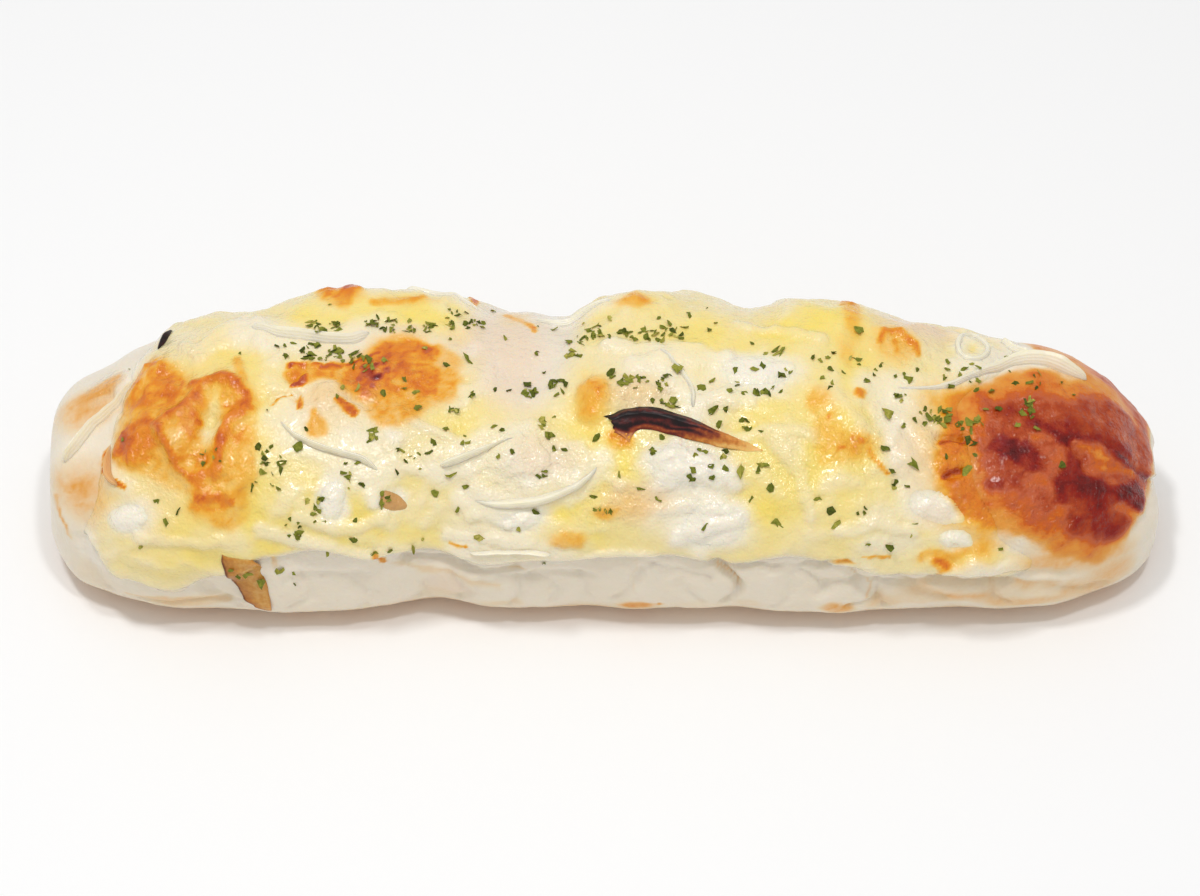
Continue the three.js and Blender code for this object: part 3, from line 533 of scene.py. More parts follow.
shredStrokes = [  # pale strips of onion sunk in the cheese: route, width, share of white
    ([(-56, 30), (-48, 25), (-42, 21), (-36, 13)], 2.4, 0.5),
    ([(-41, 54), (-38.6, 48), (-37.6, 39)], 1.8, 0.7), ([(-36, 60), (-34, 53), (-30, 48)], 2.0, 0.4),
    ([(8, 58), (12, 56), (18, 52), (22, 46)], 2.2, 0.8), ([(8, 46), (12, 50), (19, 47)], 2.0, 0.7),
    ([(9, 36), (15, 40), (22, 36)], 2.4, 0.7), ([(12, 27), (17, 30), (22, 34)], 2.4, 0.9),
    ([(5, 90), (12, 92), (20, 91)], 2.6, 0.5), ([(1, 96), (8, 95), (15, 95)], 2.2, 0.4),
    ([(47, 64), (50, 54), (53, 48)], 3.0, 0.6), ([(44, 76), (50, 72), (53, 62)], 2.4, 0.5),
    ([(57, 96), (62, 100), (68, 107)], 2.6, 0.5), ([(58, 119), (63, 112), (70, 108)], 2.6, 0.5),
    ([(60, 126), (68, 121), (76, 118)], 2.6, 0.5), ([(-25, 24), (-17, 24.5), (-9, 20)], 2.2, 0.6),
    ([(-10, 12), (0, 17), (8, 19)], 1.8, 0.4), ([(-33, 72), (-28, 63), (-20, 57)], 1.8, 0.4),
    ([(-22, 33), (-19, 37), (-16, 32)], 1.8, 0.4), ([(56.2, 13), (61, 15), (67.2, 14)], 3.0, 0.7),
    ([(-60, 118), (-64, 108), (-67, 98)], 2.6, 0.3), ([(-18, 92), (-20, 84), (-25, 76)], 2.6, 0.4),
    ([(-5, 60), (-2, 50), (3, 46)], 2.0, 0.4), ([(27, 62), (32, 50), (33, 36)], 2.2, 0.25),
    ([(-84, 24), (-84.5, 14), (-82, 6)], 2.4, 0.5), ([(20, 62), (27, 66), (34, 64)], 2.0, 0.3),
    ([(-50, 34), (-43, 30), (-37, 33)], 2.0, 0.35), ([(-75, 30), (-68, 25), (-62, 27)], 2.2, 0.3),
    ([(38, 30), (44, 33), (50, 30)], 2.0, 0.4), ([(22, 112), (29, 108), (36, 101)], 2.2, 0.2),
    ([(-70, 104), (-66, 97), (-62, 104)], 2.0, 0.3), ([(10, 80), (17, 76), (24, 78)], 2.2, 0.4),
]
wetSpots = [
    (-14, 57, 9, 5, 1), (-66, 66, 9, 10, 0.9), (-40, 76, 8, 6, 1), (74, 62, 12, 14, 0.9), (4, 40, 7, 4, 1),
    (30, 60, 6, 8, 0.7), (-30, 66, 6, 5, 0.9), (8, 56, 6, 5, 0.8), (-52, 55, 5, 6, 0.7),
    (40, 62, 6, 5, 0.9), (55, 64, 4, 5, 0.8), (-20, 92, 8, 6, 0.5), (-71, 101, 4, 4, 1),
    (-83, 100, 3, 5, 0.8), (-43, 73, 5, 4, 1), (-35, 87, 5, 4, 1), (-33, 68, 4, 4, 1),
    (-60, 50, 8, 10, 0.6), (-12, 54, 7, 5, 1), (0, 38, 5, 3, 1), (4, 77, 5, 2, 1), (60, 51, 4, 8, 1),
    (70, 42, 7, 6, 1), (66, 65, 6, 6, 1), (79, 50, 8, 8, 1), (-79, 37, 4, 3, 0.8), (84, 70, 8, 10, 0.8),
    (16, 45, 8, 8, 0.6), (50, 100, 4, 5, 0.8),
]

# Raised rims of blisters, and creases pressed into the dough: route, width and rise in mm.
reliefStrokes = [
    (rimLeft, 2.0, 0.7), (rimLow, 2.0, 0.7), (rimRight, 2.3, 0.8), ([(-64.2, 67), (-64, 74)], 2.8, -0.9),
    ([(-60.3, 94), (-59.6, 90), (-59, 86)], 1.8, 0.5), ([(-83, 96), (-79.5, 82)], 1.6, -0.5),
    ([(-66, 44), (-62, 44.6), (-60, 41)], 2.2, 0.5), ([(-75.5, 104), (-80, 92), (-83, 84)], 2.4, -0.5),
    ([(-54.3, 79), (-52, 81.5)], 1.2, -0.7), ([(-51.4, 87), (-49, 89.5)], 1.0, -0.7),
    ([(-51, 80), (-50.6, 77)], 1.0, -0.7), ([(-43, 78), (-40, 76), (-38.5, 74)], 1.6, -0.5),
    ([(45.5, 108), (47, 112), (50, 109), (51.5, 104)], 2.2, 0.5),
    ([(42, 61), (44, 56), (47, 52)], 1.8, 0.4),
    ([(53, 17), (55, 14.5), (57, 15), (60, 19), (63, 20)], 2.2, 0.5),
    ([(54.5, 68), (58.5, 68.5)], 1.4, -0.9), ([(56, 52.5), (58, 55)], 1.4, -0.9),
    ([(36, 15), (39.5, 17)], 1.4, -0.6), ([(-33, 11), (-25, 10), (-17, 6.5), (-14, 9)], 1.5, -0.8),
    ([(19, 12), (21, 6), (21.5, 1)], 1.4, -0.8), ([(36, 2), (42, 5), (48, 3), (56, 5), (66, 2)], 1.6, -0.6),
    ([(-20, 2), (-10, 6), (-2, 4)], 1.4, -0.4), ([(20, 12), (28, 14), (36, 13)], 1.2, -0.5),
    ([(44, 5), (45, -4), (40, -9)], 1.2, -0.4), ([(-52, 4), (-46, 7), (-40, 5)], 1.6, -0.4),
    ([(-77, -12), (-68, -8), (-60, -9)], 1.4, -0.4), ([(-14.2, 3), (-14.2, -1), (-15.5, -17)], 1.4, -0.5),
    ([(5.5, 9), (5, 1), (2, -8)], 1.6, -0.45), ([(18, 13), (21, 4), (21.8, -2), (20, -10)], 1.6, -0.7),
    ([(-24.8, 2), (-22.2, -2), (-24, -14)], 1.6, -0.5),
    ([(40.5, 10.5), (42, 1), (44.2, -1.5), (46, -12)], 1.6, -0.6),
    ([(30, 6), (30.5, 0), (28, -12)], 1.6, -0.3), ([(48, 9), (51, -0.5), (56, -4)], 1.6, -0.5),
    ([(54, 5), (64, 3), (75, -1), (83, -10)], 1.8, -0.5), ([(63.5, 2), (64, -4), (66.2, -8)], 1.4, -0.4),
    ([(-41.5, 2), (-38, -4), (-40, -14)], 1.6, -0.4), ([(-66.5, 0.5), (-63, -4), (-60, -16)], 1.5, -0.4),
    ([(-4, 4), (-3, -6)], 1.6, -0.35), ([(12, 2), (15.8, -9)], 1.6, -0.35),
    ([(-86, 20), (-85, 5), (-83, -12)], 2.0, -0.4),
    ([(62.5, 66), (66, 67.5), (69, 64), (71, 60)], 2.6, -0.35),
    ([(75.5, 71), (78, 66), (79, 61)], 1.8, -0.5), ([(82, 73), (88, 66), (91, 62)], 1.6, -0.5),
    ([(75, 72.5), (82, 69), (88, 62)], 2.6, 0.5), ([(-30, -1), (-29, -8), (-31, -16)], 1.5, -0.4),
    ([(-12, 4), (-8, -1), (-9, -9)], 1.5, -0.4), ([(28, 12), (33, 8), (36, -1)], 1.6, -0.5),
    ([(-50, 6), (-49, -4), (-52, -12)], 1.5, -0.35), ([(60, 10), (68, 8), (76, 6)], 2.0, -0.4),
    ([(8, 13), (11, 7), (17, 5)], 1.5, -0.4),
]
blisters = [  # smooth round swellings: x, turn, reach along, reach round, rise
    (-1.8, 76.5, 3.4, 4.6, 0.9), (-6.2, 24.8, 3.6, 1.9, 0.5), (-76.6, 65, 3.2, 4.4, 0.6),
    (-68.8, 66, 3.0, 5.0, 0.5), (-59, 51, 2.6, 4.0, 0.4), (-63.5, 38, 3.0, 3.0, 0.35),
    (-72.5, 93, 4.0, 5.0, 0.4), (-14, 56, 6.0, 3.6, 0.8), (1.5, 38, 4.2, 2.2, 0.4),
    (-45, 79, 3.4, 2.8, 0.6), (5.5, 79, 4.6, 1.8, 0.4),
]


# Heights and places in mm: the underside is tanned below its heights, and the tip of the dark end,
# where turns run together, is browned by height alone.
browning = {
    "under": 0.24, "underFull": 1.5, "underNone": 8, "tip": 0.58, "tipNone": 15.4, "tipFull": 18.2,
    "tipStart": 87.6, "tipAlone": 90.4, "spotEnd": 92.4, "spotFade": 2,
}


def paintToast(field):
    toast = np.zeros(field.x.shape)
    for x, turn, along, around, level in toastHaloes:
        toast = np.maximum(toast, level * field.spot(x, turn, along, around, 0.8))
    height = field.points[..., 2] + 0.8 * softNoise(field.points, 3.2, 3.1)
    tanned = browning["under"] * smoothStep(-height, -browning["underNone"], -browning["underFull"])
    toast = np.maximum(toast, tanned)
    for outline, level, soft in toastPatches:
        toast = lay(toast, level, field.patch(outline, soft))
    tipped = tanned + browning["tip"] * smoothStep(height, browning["tipNone"], browning["tipFull"])
    toast = lay(toast, tipped, smoothStep(field.x, browning["tipStart"], browning["tipAlone"]))
    inward = smoothStep(browning["spotEnd"] - np.abs(field.x), 0, browning["spotFade"])
    for x, turn, along, around, level in toastSpots + crustSpots:
        toast = lay(toast, level, field.spot(x, turn, along, around, 0.6) * inward)
    for route, width, level in toastAndShadeStrokes:
        toast = lay(toast, level, field.stroke(route, width, 0.7))
    veins = veinNoise(field.points, 1.8)
    veined = 0.12 - 0.07 * smoothStep(field.x, 50, 58)
    uneven = 0.08 * softNoise(
        field.points, 2.4, 2.2) + 0.04 * softNoise(field.points, 0.9, 4.4) + veined * (veins - 0.35)
    return np.clip(toast + uneven * smoothStep(toast, 0.1, 0.4), 0, 1)


def paintSpots(field, base, spots, soft=0.6):
    values = np.full(field.x.shape, float(base))
    for x, turn, along, around, level in spots:
        values = lay(values, level, field.spot(x, turn, along, around, soft))
    return values


# White of the sunken strips, and of the pieces that lie in the cheese, which melt into it at their edges.
def paintWhite(field, base, crest=0):
    values = paintSpots(field, base, whiteSpots) + 0.3 * smoothStep(crest, 0.1, 0.8)
    for route, width, level in shredStrokes:
        values = lay(values, level, field.stroke(route, width, 0.8))
    for title, route, width, thickness, profile in onionSlices.values():
        values = lay(values, 0.6, field.stroke(route, width * 1.5, 0.8))
    for title, x, turn, length, width, height, skew, pointed in whiteChunks.values():
        values = lay(values, 0.85, field.spot(x, turn, length * 0.6, width * 0.65, 0.5))
    return np.clip(values, 0, 1)


def reliefOf(field):
    rise = np.zeros(field.x.shape)
    for route, width, height in reliefStrokes:
        rise = rise + height * (1 if height > 0 else 1.5) * bell(field.away(route) / width * 1.8)
    for x, turn, along, around, height in blisters:
        distance = field.distance(x, turn, along, around)
        rise = rise + height * np.sqrt(np.clip(1 - distance ** 2, 0, 1)) * smoothStep(1 - distance, 0, 0.25)
    return rise


def sunkenStrips(field):
    rise = np.zeros(field.x.shape)
    for route, width, level in shredStrokes:
        rise = np.maximum(rise, 0.6 * bell((field.away(route) / width * 1.9) ** 2))
    for title, route, width, thickness, profile in onionSlices.values():
        rise = np.maximum(rise, 0.45 * thickness * bell((field.away(route) / width) ** 2))
    return rise


# Melted shreds of cheese, long soft ridges lying any way.
def shredRelief(field, count):
    rise = np.zeros(field.x.shape)
    for each in range(count):
        startX, startTurn = rng.uniform(-84, 64), rng.uniform(8, 165)
        heading, length = rng.uniform(0, math.tau), rng.uniform(7, 16)
        bend = rng.uniform(-0.5, 0.5)
        route = [(startX, startTurn)]
        for step in range(3):
            angle = heading + bend * step
            startX += math.cos(angle) * length / 3
            startTurn += math.sin(angle) * length / 3 * turnPerMm
            route.append((startX, startTurn))
        rise = np.maximum(rise, bell(field.away(route) / rng.uniform(1.0, 1.7)))
    return rise


# ---- meshes ----


def meshOf(name, points, faces, slots, floats):
    mesh = bpy.data.meshes.new(name)
    mesh.from_pydata((np.asarray(points) * mm).tolist(), [], [list(face) for face in faces])
    mesh.update()
    for title, values in floats.items():
        attribute = mesh.attributes.new(title, "FLOAT", "POINT")
        attribute.data.foreach_set("value", np.asarray(values, np.float32))
    mesh.polygons.foreach_set("use_smooth", [True] * len(mesh.polygons))
    for material in slots:
        mesh.materials.append(material)
    piece = bpy.data.objects.new(name, mesh)
    scene.collection.objects.link(piece)
    return piece


def facingOut(points, faces):
    points = np.asarray(points)
    volume = 0.0
    for size in (3, 4):
        some = np.array([face for face in faces if len(face) == size])
        if len(some):
            for second in range(1, size - 1):
                a, b, c = points[some[:, 0]], points[some[:, second]], points[some[:, second + 1]]
                volume += np.einsum("ij,ij->i", a, np.cross(b, c)).sum()
    return faces if volume > 0 else [tuple(reversed(face)) for face in faces]


# A closed skin from rings of points (rings, count, 3), its two ends closed by the middle of the last ring.
def closedRings(rings):
    count = rings.shape[1]
    points = rings.reshape(-1, 3)
    index = np.arange(len(points)).reshape(rings.shape[:2])
    near, far = index[:-1], index[1:]
    quads = np.stack([near, far, np.roll(far, -1, 1), np.roll(near, -1, 1)], -1).reshape(-1, 4)
    faces = [tuple(face) for face in quads.tolist()]
    tips = [rings[0].mean(0), rings[-1].mean(0)]
    points = np.vstack([points, tips])
    firstTip, lastTip = len(points) - 2, len(points) - 1
    first, last = index[0].tolist(), index[-1].tolist()
    for each in range(count):
        following = (each + 1) % count
        faces.append((firstTip, first[each], first[following]))
        faces.append((lastTip, last[following], last[each]))
    return points, facingOut(points, faces)


# Values for the points of closedRings, with the mean of each end ring for its tip.
def withPoles(values, count):
    values = values.reshape(-1, count)
    return np.concatenate([values.ravel(), [values[0].mean(), values[-1].mean()]])


# A closed shell between two grids of points (columns, rows, 3); keep says which cells are solid.
def closedShell(outer, inner, keep):
    columns, rows = outer.shape[:2]
    index = np.arange(columns * rows).reshape(columns, rows)
    quads = np.stack([index[:-1, :-1], index[1:, :-1], index[1:, 1:], index[:-1, 1:]], -1)[keep]
    used = np.unique(quads)
    fresh = np.full(columns * rows, -1)
    fresh[used] = np.arange(len(used))
    quads = fresh[quads]
    edges = set()
    for side in range(4):
        edges.update(zip(quads[:, side].tolist(), quads[:, (side + 1) % 4].tolist()))
    count = len(used)
    faces = [tuple(face) for face in quads.tolist()]
    faces += [tuple(face) for face in (quads[:, ::-1] + count).tolist()]
    faces += [(b, a, a + count, b + count) for a, b in edges if (b, a) not in edges]
    points = np.vstack([outer.reshape(-1, 3)[used], inner.reshape(-1, 3)[used]])
    return points, facingOut(points, faces), used


# ---- materials ----


def linear(hexColour):
    parts = [int(hexColour[at:at + 2], 16) / 255 for at in (1, 3, 5)]
    return tuple(
        part / 12.92 if part <= 0.04045 else ((part + 0.055) / 1.055) ** 2.4 for part in parts) + (1,)


# Adds a node with its settings and inputs; an input that is a node takes that node's first output.
def addNode(tree, kind, inputs=None, **settings):
    node = tree.nodes.new(kind)
    for name, value in settings.items():
        setattr(node, name, value)
    for name, value in (inputs or {}).items():
        found = [
            socket for at,
            socket in enumerate(node.inputs) if name == at or socket.enabled and name in (
                socket.identifier, socket.name)]
        if isinstance(value, bpy.types.Node):
            value = next(socket for socket in value.outputs if socket.enabled)
        if isinstance(value, bpy.types.NodeSocket):
            tree.links.new(value, found[0])
        else:
            found[0].default_value = value
    return node


def newMaterial(name):
    material = bpy.data.materials.new(name)
    material.use_nodes = True
    material.node_tree.nodes.clear()
    return material, material.node_tree


def perMm(size):
    return 1 / (size * mm)  # the scale of a pattern whose lumps are this many mm wide


def setRamp(node, stops):
    ramp = node.color_ramp
    while len(ramp.elements) < len(stops):
        ramp.elements.new(0.5)
    for element, (position, colour) in zip(ramp.elements, stops):
        element.position = position
        element.color = linear(colour)
    return node


def noiseOf(tree, place, size, detail=3.0, roughness=0.55):
    inputs = {"Vector": place, "Scale": perMm(size), "Detail": detail, "Roughness": roughness}
    return addNode(tree, "ShaderNodeTexNoise", inputs).outputs["Fac"]


cheeseToast = [
    (0.0, "#efdfa8"), (0.10, "#f2cf76"), (0.20, "#f0b42e"), (0.28, "#eca82a"), (0.36, "#e38a18"),
    (0.44, "#da7610"), (0.50, "#cb6010"), (0.58, "#be5c34"), (0.62, "#b04619"), (0.74, "#8e1804"),
    (0.82, "#6a0d06"), (0.90, "#4c0504"), (1.0, "#220506"),
]
doughToast = [
    (0.0, "#eddbb8"), (0.12, "#e6c68e"), (0.22, "#e6b066"), (0.30, "#e2a04a"), (0.38, "#df9136"),
    (0.46, "#d87a28"), (0.50, "#cb6010"), (0.58, "#be5c34"), (0.62, "#b04619"), (0.74, "#8e1804"),
    (0.82, "#6a0d06"), (0.90, "#4c0504"), (1.0, "#220506"),
]

pinkTint = "#ebcfb2"  # where juice of the onion shows through
skinLooks = {
    "bread": {
        "pale": "#eee3d1", "shade": "#e4d7be", "yellow": "#ead895", "white": "#f1e8d8", "toast": doughToast,
        "rough": 0.35, "wetRough": 0.07, "shine": 0.26, "bleed": 1.1, "bleedShare": 0.2, "oil": 0.08,
        "grain": 0.08, "wetGrain": 0.34},
    "cheese": {
        "pale": "#efe1c0", "shade": "#ecdba2", "yellow": "#f5db66", "white": "#f4ecdc",
        "toast": cheeseToast, "rough": 0.27, "wetRough": 0.06, "shine": 0.4, "bleed": 1.3,
        "bleedShare": 0.25, "oil": 0.16, "grain": 0.11, "wetGrain": 0.34},
    "tan": {
        "pale": "#d9ad72", "shade": "#b98445", "yellow": "#e0b070", "white": "#ecd9bb", "toast": doughToast,
        "rough": 0.36, "wetRough": 0.2, "shine": 0.3, "bleed": 0.8, "bleedShare": 0.2, "oil": 0.1,
        "grain": 0.12, "wetGrain": 0.3},
}


# Baked skin of dough or cheese: pale and soft, with light bleeding through it, oil where it is wet,
# and the browning that is painted on it going from gold to burnt red.
def bakedSkin(name, look):
    material, tree = newMaterial(name)
    place = addNode(tree, "ShaderNodeTexCoord").outputs["Object"]
    painted = {}
    for title in ("toast", "yellow", "white", "pink", "wet", "thin"):
        painted[title] = addNode(tree, "ShaderNodeAttribute", attribute_name=title).outputs["Fac"]
    cloud = noiseOf(tree, place, 7.0)
    grain = noiseOf(tree, place, 0.9, 4.0, 0.6)
    clouded = []
    for skin in (look, skinLooks["bread"]):
        shades = {"Factor_Float": cloud, "A_Color": linear(skin["pale"]), "B_Color": linear(skin["shade"])}
        clouded.append(addNode(tree, "ShaderNodeMix", shades, data_type="RGBA"))
    colour, bareDough = clouded
    layers = {
        "yellow": linear(look["yellow"]), "thin": bareDough, "white": linear(look["white"]),
        "pink": linear(pinkTint)}
    for title, layer in layers.items():
        colour = addNode(tree, "ShaderNodeMix", {
            "Factor_Float": painted[title], "A_Color": colour, "B_Color": layer}, data_type="RGBA")
    lifted = addNode(tree, "ShaderNodeMapRange", {
        "Value": grain, "From Min": 0.3, "From Max": 0.7, "To Min": -0.025, "To Max": 0.025})
    reach = addNode(tree, "ShaderNodeMapRange", {
        "Value": painted["toast"], "From Min": 0.05, "From Max": 0.35})
    speckle = addNode(tree, "ShaderNodeMath", {0: lifted, 1: reach}, operation="MULTIPLY")
    toast = addNode(tree, "ShaderNodeMath", {0: painted["toast"], 1: speckle}, operation="ADD")
    crust = setRamp(addNode(tree, "ShaderNodeValToRGB", {"Fac": toast}), look["toast"])
    cover = addNode(
        tree, "ShaderNodeMapRange", {"Value": toast, "From Min": 0.0, "From Max": 0.32},
        interpolation_type="SMOOTHSTEP")
    colour = addNode(
        tree, "ShaderNodeMix", {"Factor_Float": cover, "A_Color": colour, "B_Color": crust},
        data_type="RGBA")
    rough = addNode(tree, "ShaderNodeMapRange", {
        "Value": painted["wet"], "To Min": look["rough"], "To Max": look["wetRough"]})
    coarse = noiseOf(tree, place, 1.6, 2.0, 0.5)
    fine = noiseOf(tree, place, 0.5, 2.0, 0.5)
    heights = addNode(tree, "ShaderNodeMath", {0: fine, 1: 0.4, 2: coarse}, operation="MULTIPLY_ADD")
    depth = addNode(tree, "ShaderNodeMapRange", {
        "Value": painted["wet"], "To Min": look["grain"], "To Max": look["wetGrain"]})
    scaled = addNode(tree, "ShaderNodeMath", {0: heights, 1: depth}, operation="MULTIPLY")
    bump = addNode(tree, "ShaderNodeBump", {"Height": scaled, "Strength": 1.0, "Distance": 2 * mm})
    shader = addNode(tree, "ShaderNodeBsdfPrincipled", {
        "Base Color": colour, "Roughness": rough, "Normal": bump, "Subsurface Weight": look["bleedShare"],
        "Subsurface Radius": (1.0, 0.6, 0.3), "Subsurface Scale": look["bleed"] * mm,
        "Specular IOR Level": look["shine"], "Coat Weight": look["oil"], "Coat Roughness": 0.06})
    addNode(tree, "ShaderNodeOutputMaterial", {"Surface": shader})
    return material


# ---- bread ----

breadSkin = {"alongStep": 0.55, "middleEnd": 79, "capRings": 38, "turnCount": 250}


def stationsAlong(step, middleEnd, capRings):
    middle = np.linspace(-middleEnd, middleEnd, round(2 * middleEnd / step) + 1)
    capWidth = endTaper(np.array([middleEnd]), loaf["frontLeft"], loaf["frontRight"])[0]
    widths = capWidth * np.cos(np.arange(1, capRings) * math.pi / 2 / capRings)
    caps = (1 - widths ** loaf["frontRight"]) ** (1 / loaf["frontRight"]) * loaf["length"] / 2
    return np.concatenate([-caps[::-1], middle, caps])


doughLumps = [(0.35, 13), (0.22, 5.5), (0.07, 1.7)]


def breadRelief(field, toast):
    points = field.points
    rise = lumpy(points, doughLumps) + reliefOf(field)
    rise = rise + 0.2 * veinNoise(points, 2.2) * smoothStep(toast, 0.25, 0.5)
    crust = field.patch(darkEnd, 0.5) * smoothStep(field.x, 84, 88)
    rise = rise + 0.8 * crust * smoothStep(field.turn, -5, 10)
    rise = rise + 0.3 * bubbleNoise(points, 1.9) * smoothStep(toast, 0.6, 0.85)
    rise = rise + 0.7 * softNoise(points, 8.5, 1.3) * bell((field.turn + 12) / 26)
    rise = rise - 1.2 * smoothStep(field.x, 83, 90) * bell((field.turn - 84) / 45)
    return rise * smoothStep(loaf["length"] / 2 - np.abs(field.x), -0.05, 0.1)


stations = stationsAlong(breadSkin["alongStep"], breadSkin["middleEnd"], breadSkin["capRings"])
turns = np.arange(breadSkin["turnCount"]) * 360 / breadSkin["turnCount"] - 90
gridX, gridTurn = [part.ravel() for part in np.meshgrid(stations, turns, indexing="ij")]
field = Field(gridX, gridTurn)
toast = paintToast(field)
skin = onLoaf(gridX, gridTurn, breadRelief(field, toast))
skin[:, 2] = np.maximum(skin[:, 2], 0)
points, faces = closedRings(skin.reshape(len(stations), len(turns), 3))
painted = {
    "toast": toast, "yellow": 0 * toast + 0.08, "white": paintWhite(field, 0.1),
    "pink": paintSpots(field, 0, pinkSpots), "wet": paintSpots(field, 0.1, wetSpots), "thin": 1 + 0 * toast,
}
painted = {title: withPoles(values, len(turns)) for title, values in painted.items()}
breadCrust = bakedSkin("bakedDough", skinLooks["bread"])
bread = meshOf("breadLoaf", points, faces, [breadCrust], painted)
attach(bread, "root")
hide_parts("bread")
print("bread", len(bread.data.vertices), "points", flush=True)

# ---- melted cheese ----

cheeseSkin = {"alongStep": 0.46, "turnStep": 1.0, "under": 2.0, "shreds": 70}
meltLumps = [(0.42, 7.0, 3.7), (0.36, 3.8, 6.1), (0.18, 1.9, 8.3), (0.07, 0.9)]


def cheeseRelief(field, toast):
    points = field.points
    rise = lumpy(points, meltLumps) + 0.42 * shredRelief(field, cheeseSkin["shreds"])
    rise = rise + sunkenStrips(field) + 0.42 * veinNoise(points, 2.0) * smoothStep(toast, 0.16, 0.36)
    rise = rise + 0.3 * bell((hemParts(field.x, field.turn)[0][0] - 1.6) / 1.3)
    softest = 1.0
    for inside, soft in hemParts(field.x, field.turn):
        softest = softest * smoothStep(inside, -0.5, soft * 1.3)
    return rise * softest


def paintYellow(field, crest=0):
    drift = lumpy(field.points, [(0.14, 9.0, 3.3), (0.14, 3.2, 5.9)]) - 0.25 * crest
    fromHem = hemParts(field.x, field.turn)[0][0]
    fades = smoothStep(fromHem, -0.5, np.where(field.x < -60, 6.0, 1.5))
    return np.clip(paintSpots(field, 0.3, yellowSpots, 0.8) + drift, 0, 1) * fades


# 1 where the cheese is only a film over the dough, 0 where it is thick.
def thinness(field):
    thick = 1.0
    for inside, soft in hemParts(field.x, field.turn):
        thick = thick * smoothStep(inside, 0, min(soft, 3.0) * 1.6)
    return 1 - thick


alongX = np.arange(-88, 72.5, cheeseSkin["alongStep"])
roundTurn = np.arange(-16, 186, cheeseSkin["turnStep"])
gridX, gridTurn = [part.ravel() for part in np.meshgrid(alongX, roundTurn, indexing="ij")]
field = Field(gridX, gridTurn)
toast = paintToast(field)
wavyX = gridX + 0.5 * softNoise(field.points, 3.0, 1.9)
wavyTurn = gridTurn + 1.2 * softNoise(field.points, 2.6, 2.7)
inside = insideHem(wavyX, wavyTurn)
crest = cheeseRelief(field, toast)
lift = breadRelief(field, toast) * smoothStep(inside, -1.5, 0) + cheeseLift(gridX, gridTurn) + crest
outer = onLoaf(gridX, gridTurn, lift).reshape(len(alongX), len(roundTurn), 3)
inner = onLoaf(gridX, gridTurn, -cheeseSkin["under"] + 0 * lift).reshape(outer.shape)
solid = (inside > -1.5).reshape(outer.shape[:2])
keep = solid[:-1, :-1] & solid[1:, :-1] & solid[1:, 1:] & solid[:-1, 1:]
points, faces, used = closedShell(outer, inner, keep)
painted = {
    "toast": toast, "yellow": paintYellow(field, crest), "white": paintWhite(field, 0.04, crest),
    "pink": paintSpots(field, 0, pinkSpots), "wet": paintSpots(field, 0.3, wetSpots),
    "thin": thinness(field),
}
painted = {title: np.tile(values[used], 2) for title, values in painted.items()}
cheeseMelt = bakedSkin("meltedCheese", skinLooks["cheese"])
cheesePiece = meshOf("cheeseMelt", points, faces, [cheeseMelt], painted)
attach(cheesePiece, "root")
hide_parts("cheese_layer")
print("cheese", len(cheesePiece.data.vertices), "points", flush=True)

# ---- laying things on the baked surface ----


def treesOf(pieces):
    depsgraph = bpy.context.evaluated_depsgraph_get()
    return [BVHTree.FromObject(piece, depsgraph) for piece in pieces]


# How high the surface stands at each place, as a lift; missed places give 0.
def seatLifts(trees, x, turn, reach=14.0):
    starts = onLoaf(x, turn, reach) * mm
    ways = -loafNormal(np.asarray(x, float), np.asarray(turn, float))
    lifts = np.zeros(len(starts))
    for at, (start, way) in enumerate(zip(starts, ways)):
        hits = [tree.ray_cast(Vector(start), Vector(way), 0.03)[3] for tree in trees]
        hits = [hit for hit in hits if hit is not None]
        if hits:
            lifts[at] = reach - min(hits) / mm
    return lifts


def smoothed(values, reach):
    padded = np.pad(values, reach, mode="edge")
    return np.convolve(padded, np.ones(2 * reach + 1) / (2 * reach + 1), mode="valid")


def unrolled(x, turn):
    return np.stack([x, turn / turnPerMm, 0 * x], -1).reshape(-1, 3)


# Even steps along a smooth line through the stops, on the unrolled skin in mm.
def sampleRoute(route, step, loop=False):
    stops = np.array([(x, turn / turnPerMm) for x, turn in route], float)
    count = len(stops)
    line = []
    for at in range(count if loop else count - 1):
        if loop:
            p0, p1, p2, p3 = (stops[(at + shift) % count] for shift in (-1, 0, 1, 2))
        else:
            p1, p2 = stops[at], stops[at + 1]
            p0 = stops[at - 1] if at else 2 * p1 - p2
            p3 = stops[at + 2] if at + 2 < count else 2 * p2 - p1
        for t in np.linspace(0, 1, 24, endpoint=False):
            square = (2 * p0 - 5 * p1 + 4 * p2 - p3) * t * t
            cube = (3 * p1 - p0 - 3 * p2 + p3) * t ** 3
            line.append(0.5 * (2 * p1 + (p2 - p0) * t + square + cube))
    line.append(stops[0] if loop else stops[-1])
    line = np.array(line)
    lengths = np.concatenate([[0], np.cumsum(np.linalg.norm(np.diff(line, axis=0), axis=1))])
    places = np.linspace(0, lengths[-1], max(round(lengths[-1] / step), 4) + 1)
    line = np.stack([np.interp(places, lengths, line[:, axis]) for axis in (0, 1)], -1)
    return line[:-1] if loop else line


# ---- node trees ----


def newTree(name, sockets):
    tree = bpy.data.node_groups.new(name, "GeometryNodeTree")
    tree.interface.new_socket("Geometry", in_out="INPUT", socket_type="NodeSocketGeometry")
    for title, kind, value in sockets:
        socket = tree.interface.new_socket(title, in_out="INPUT", socket_type=kind)
        if value is not None:
            socket.default_value = value
    tree.interface.new_socket("Geometry", in_out="OUTPUT", socket_type="NodeSocketGeometry")
    return tree, tree.nodes.new("NodeGroupInput").outputs


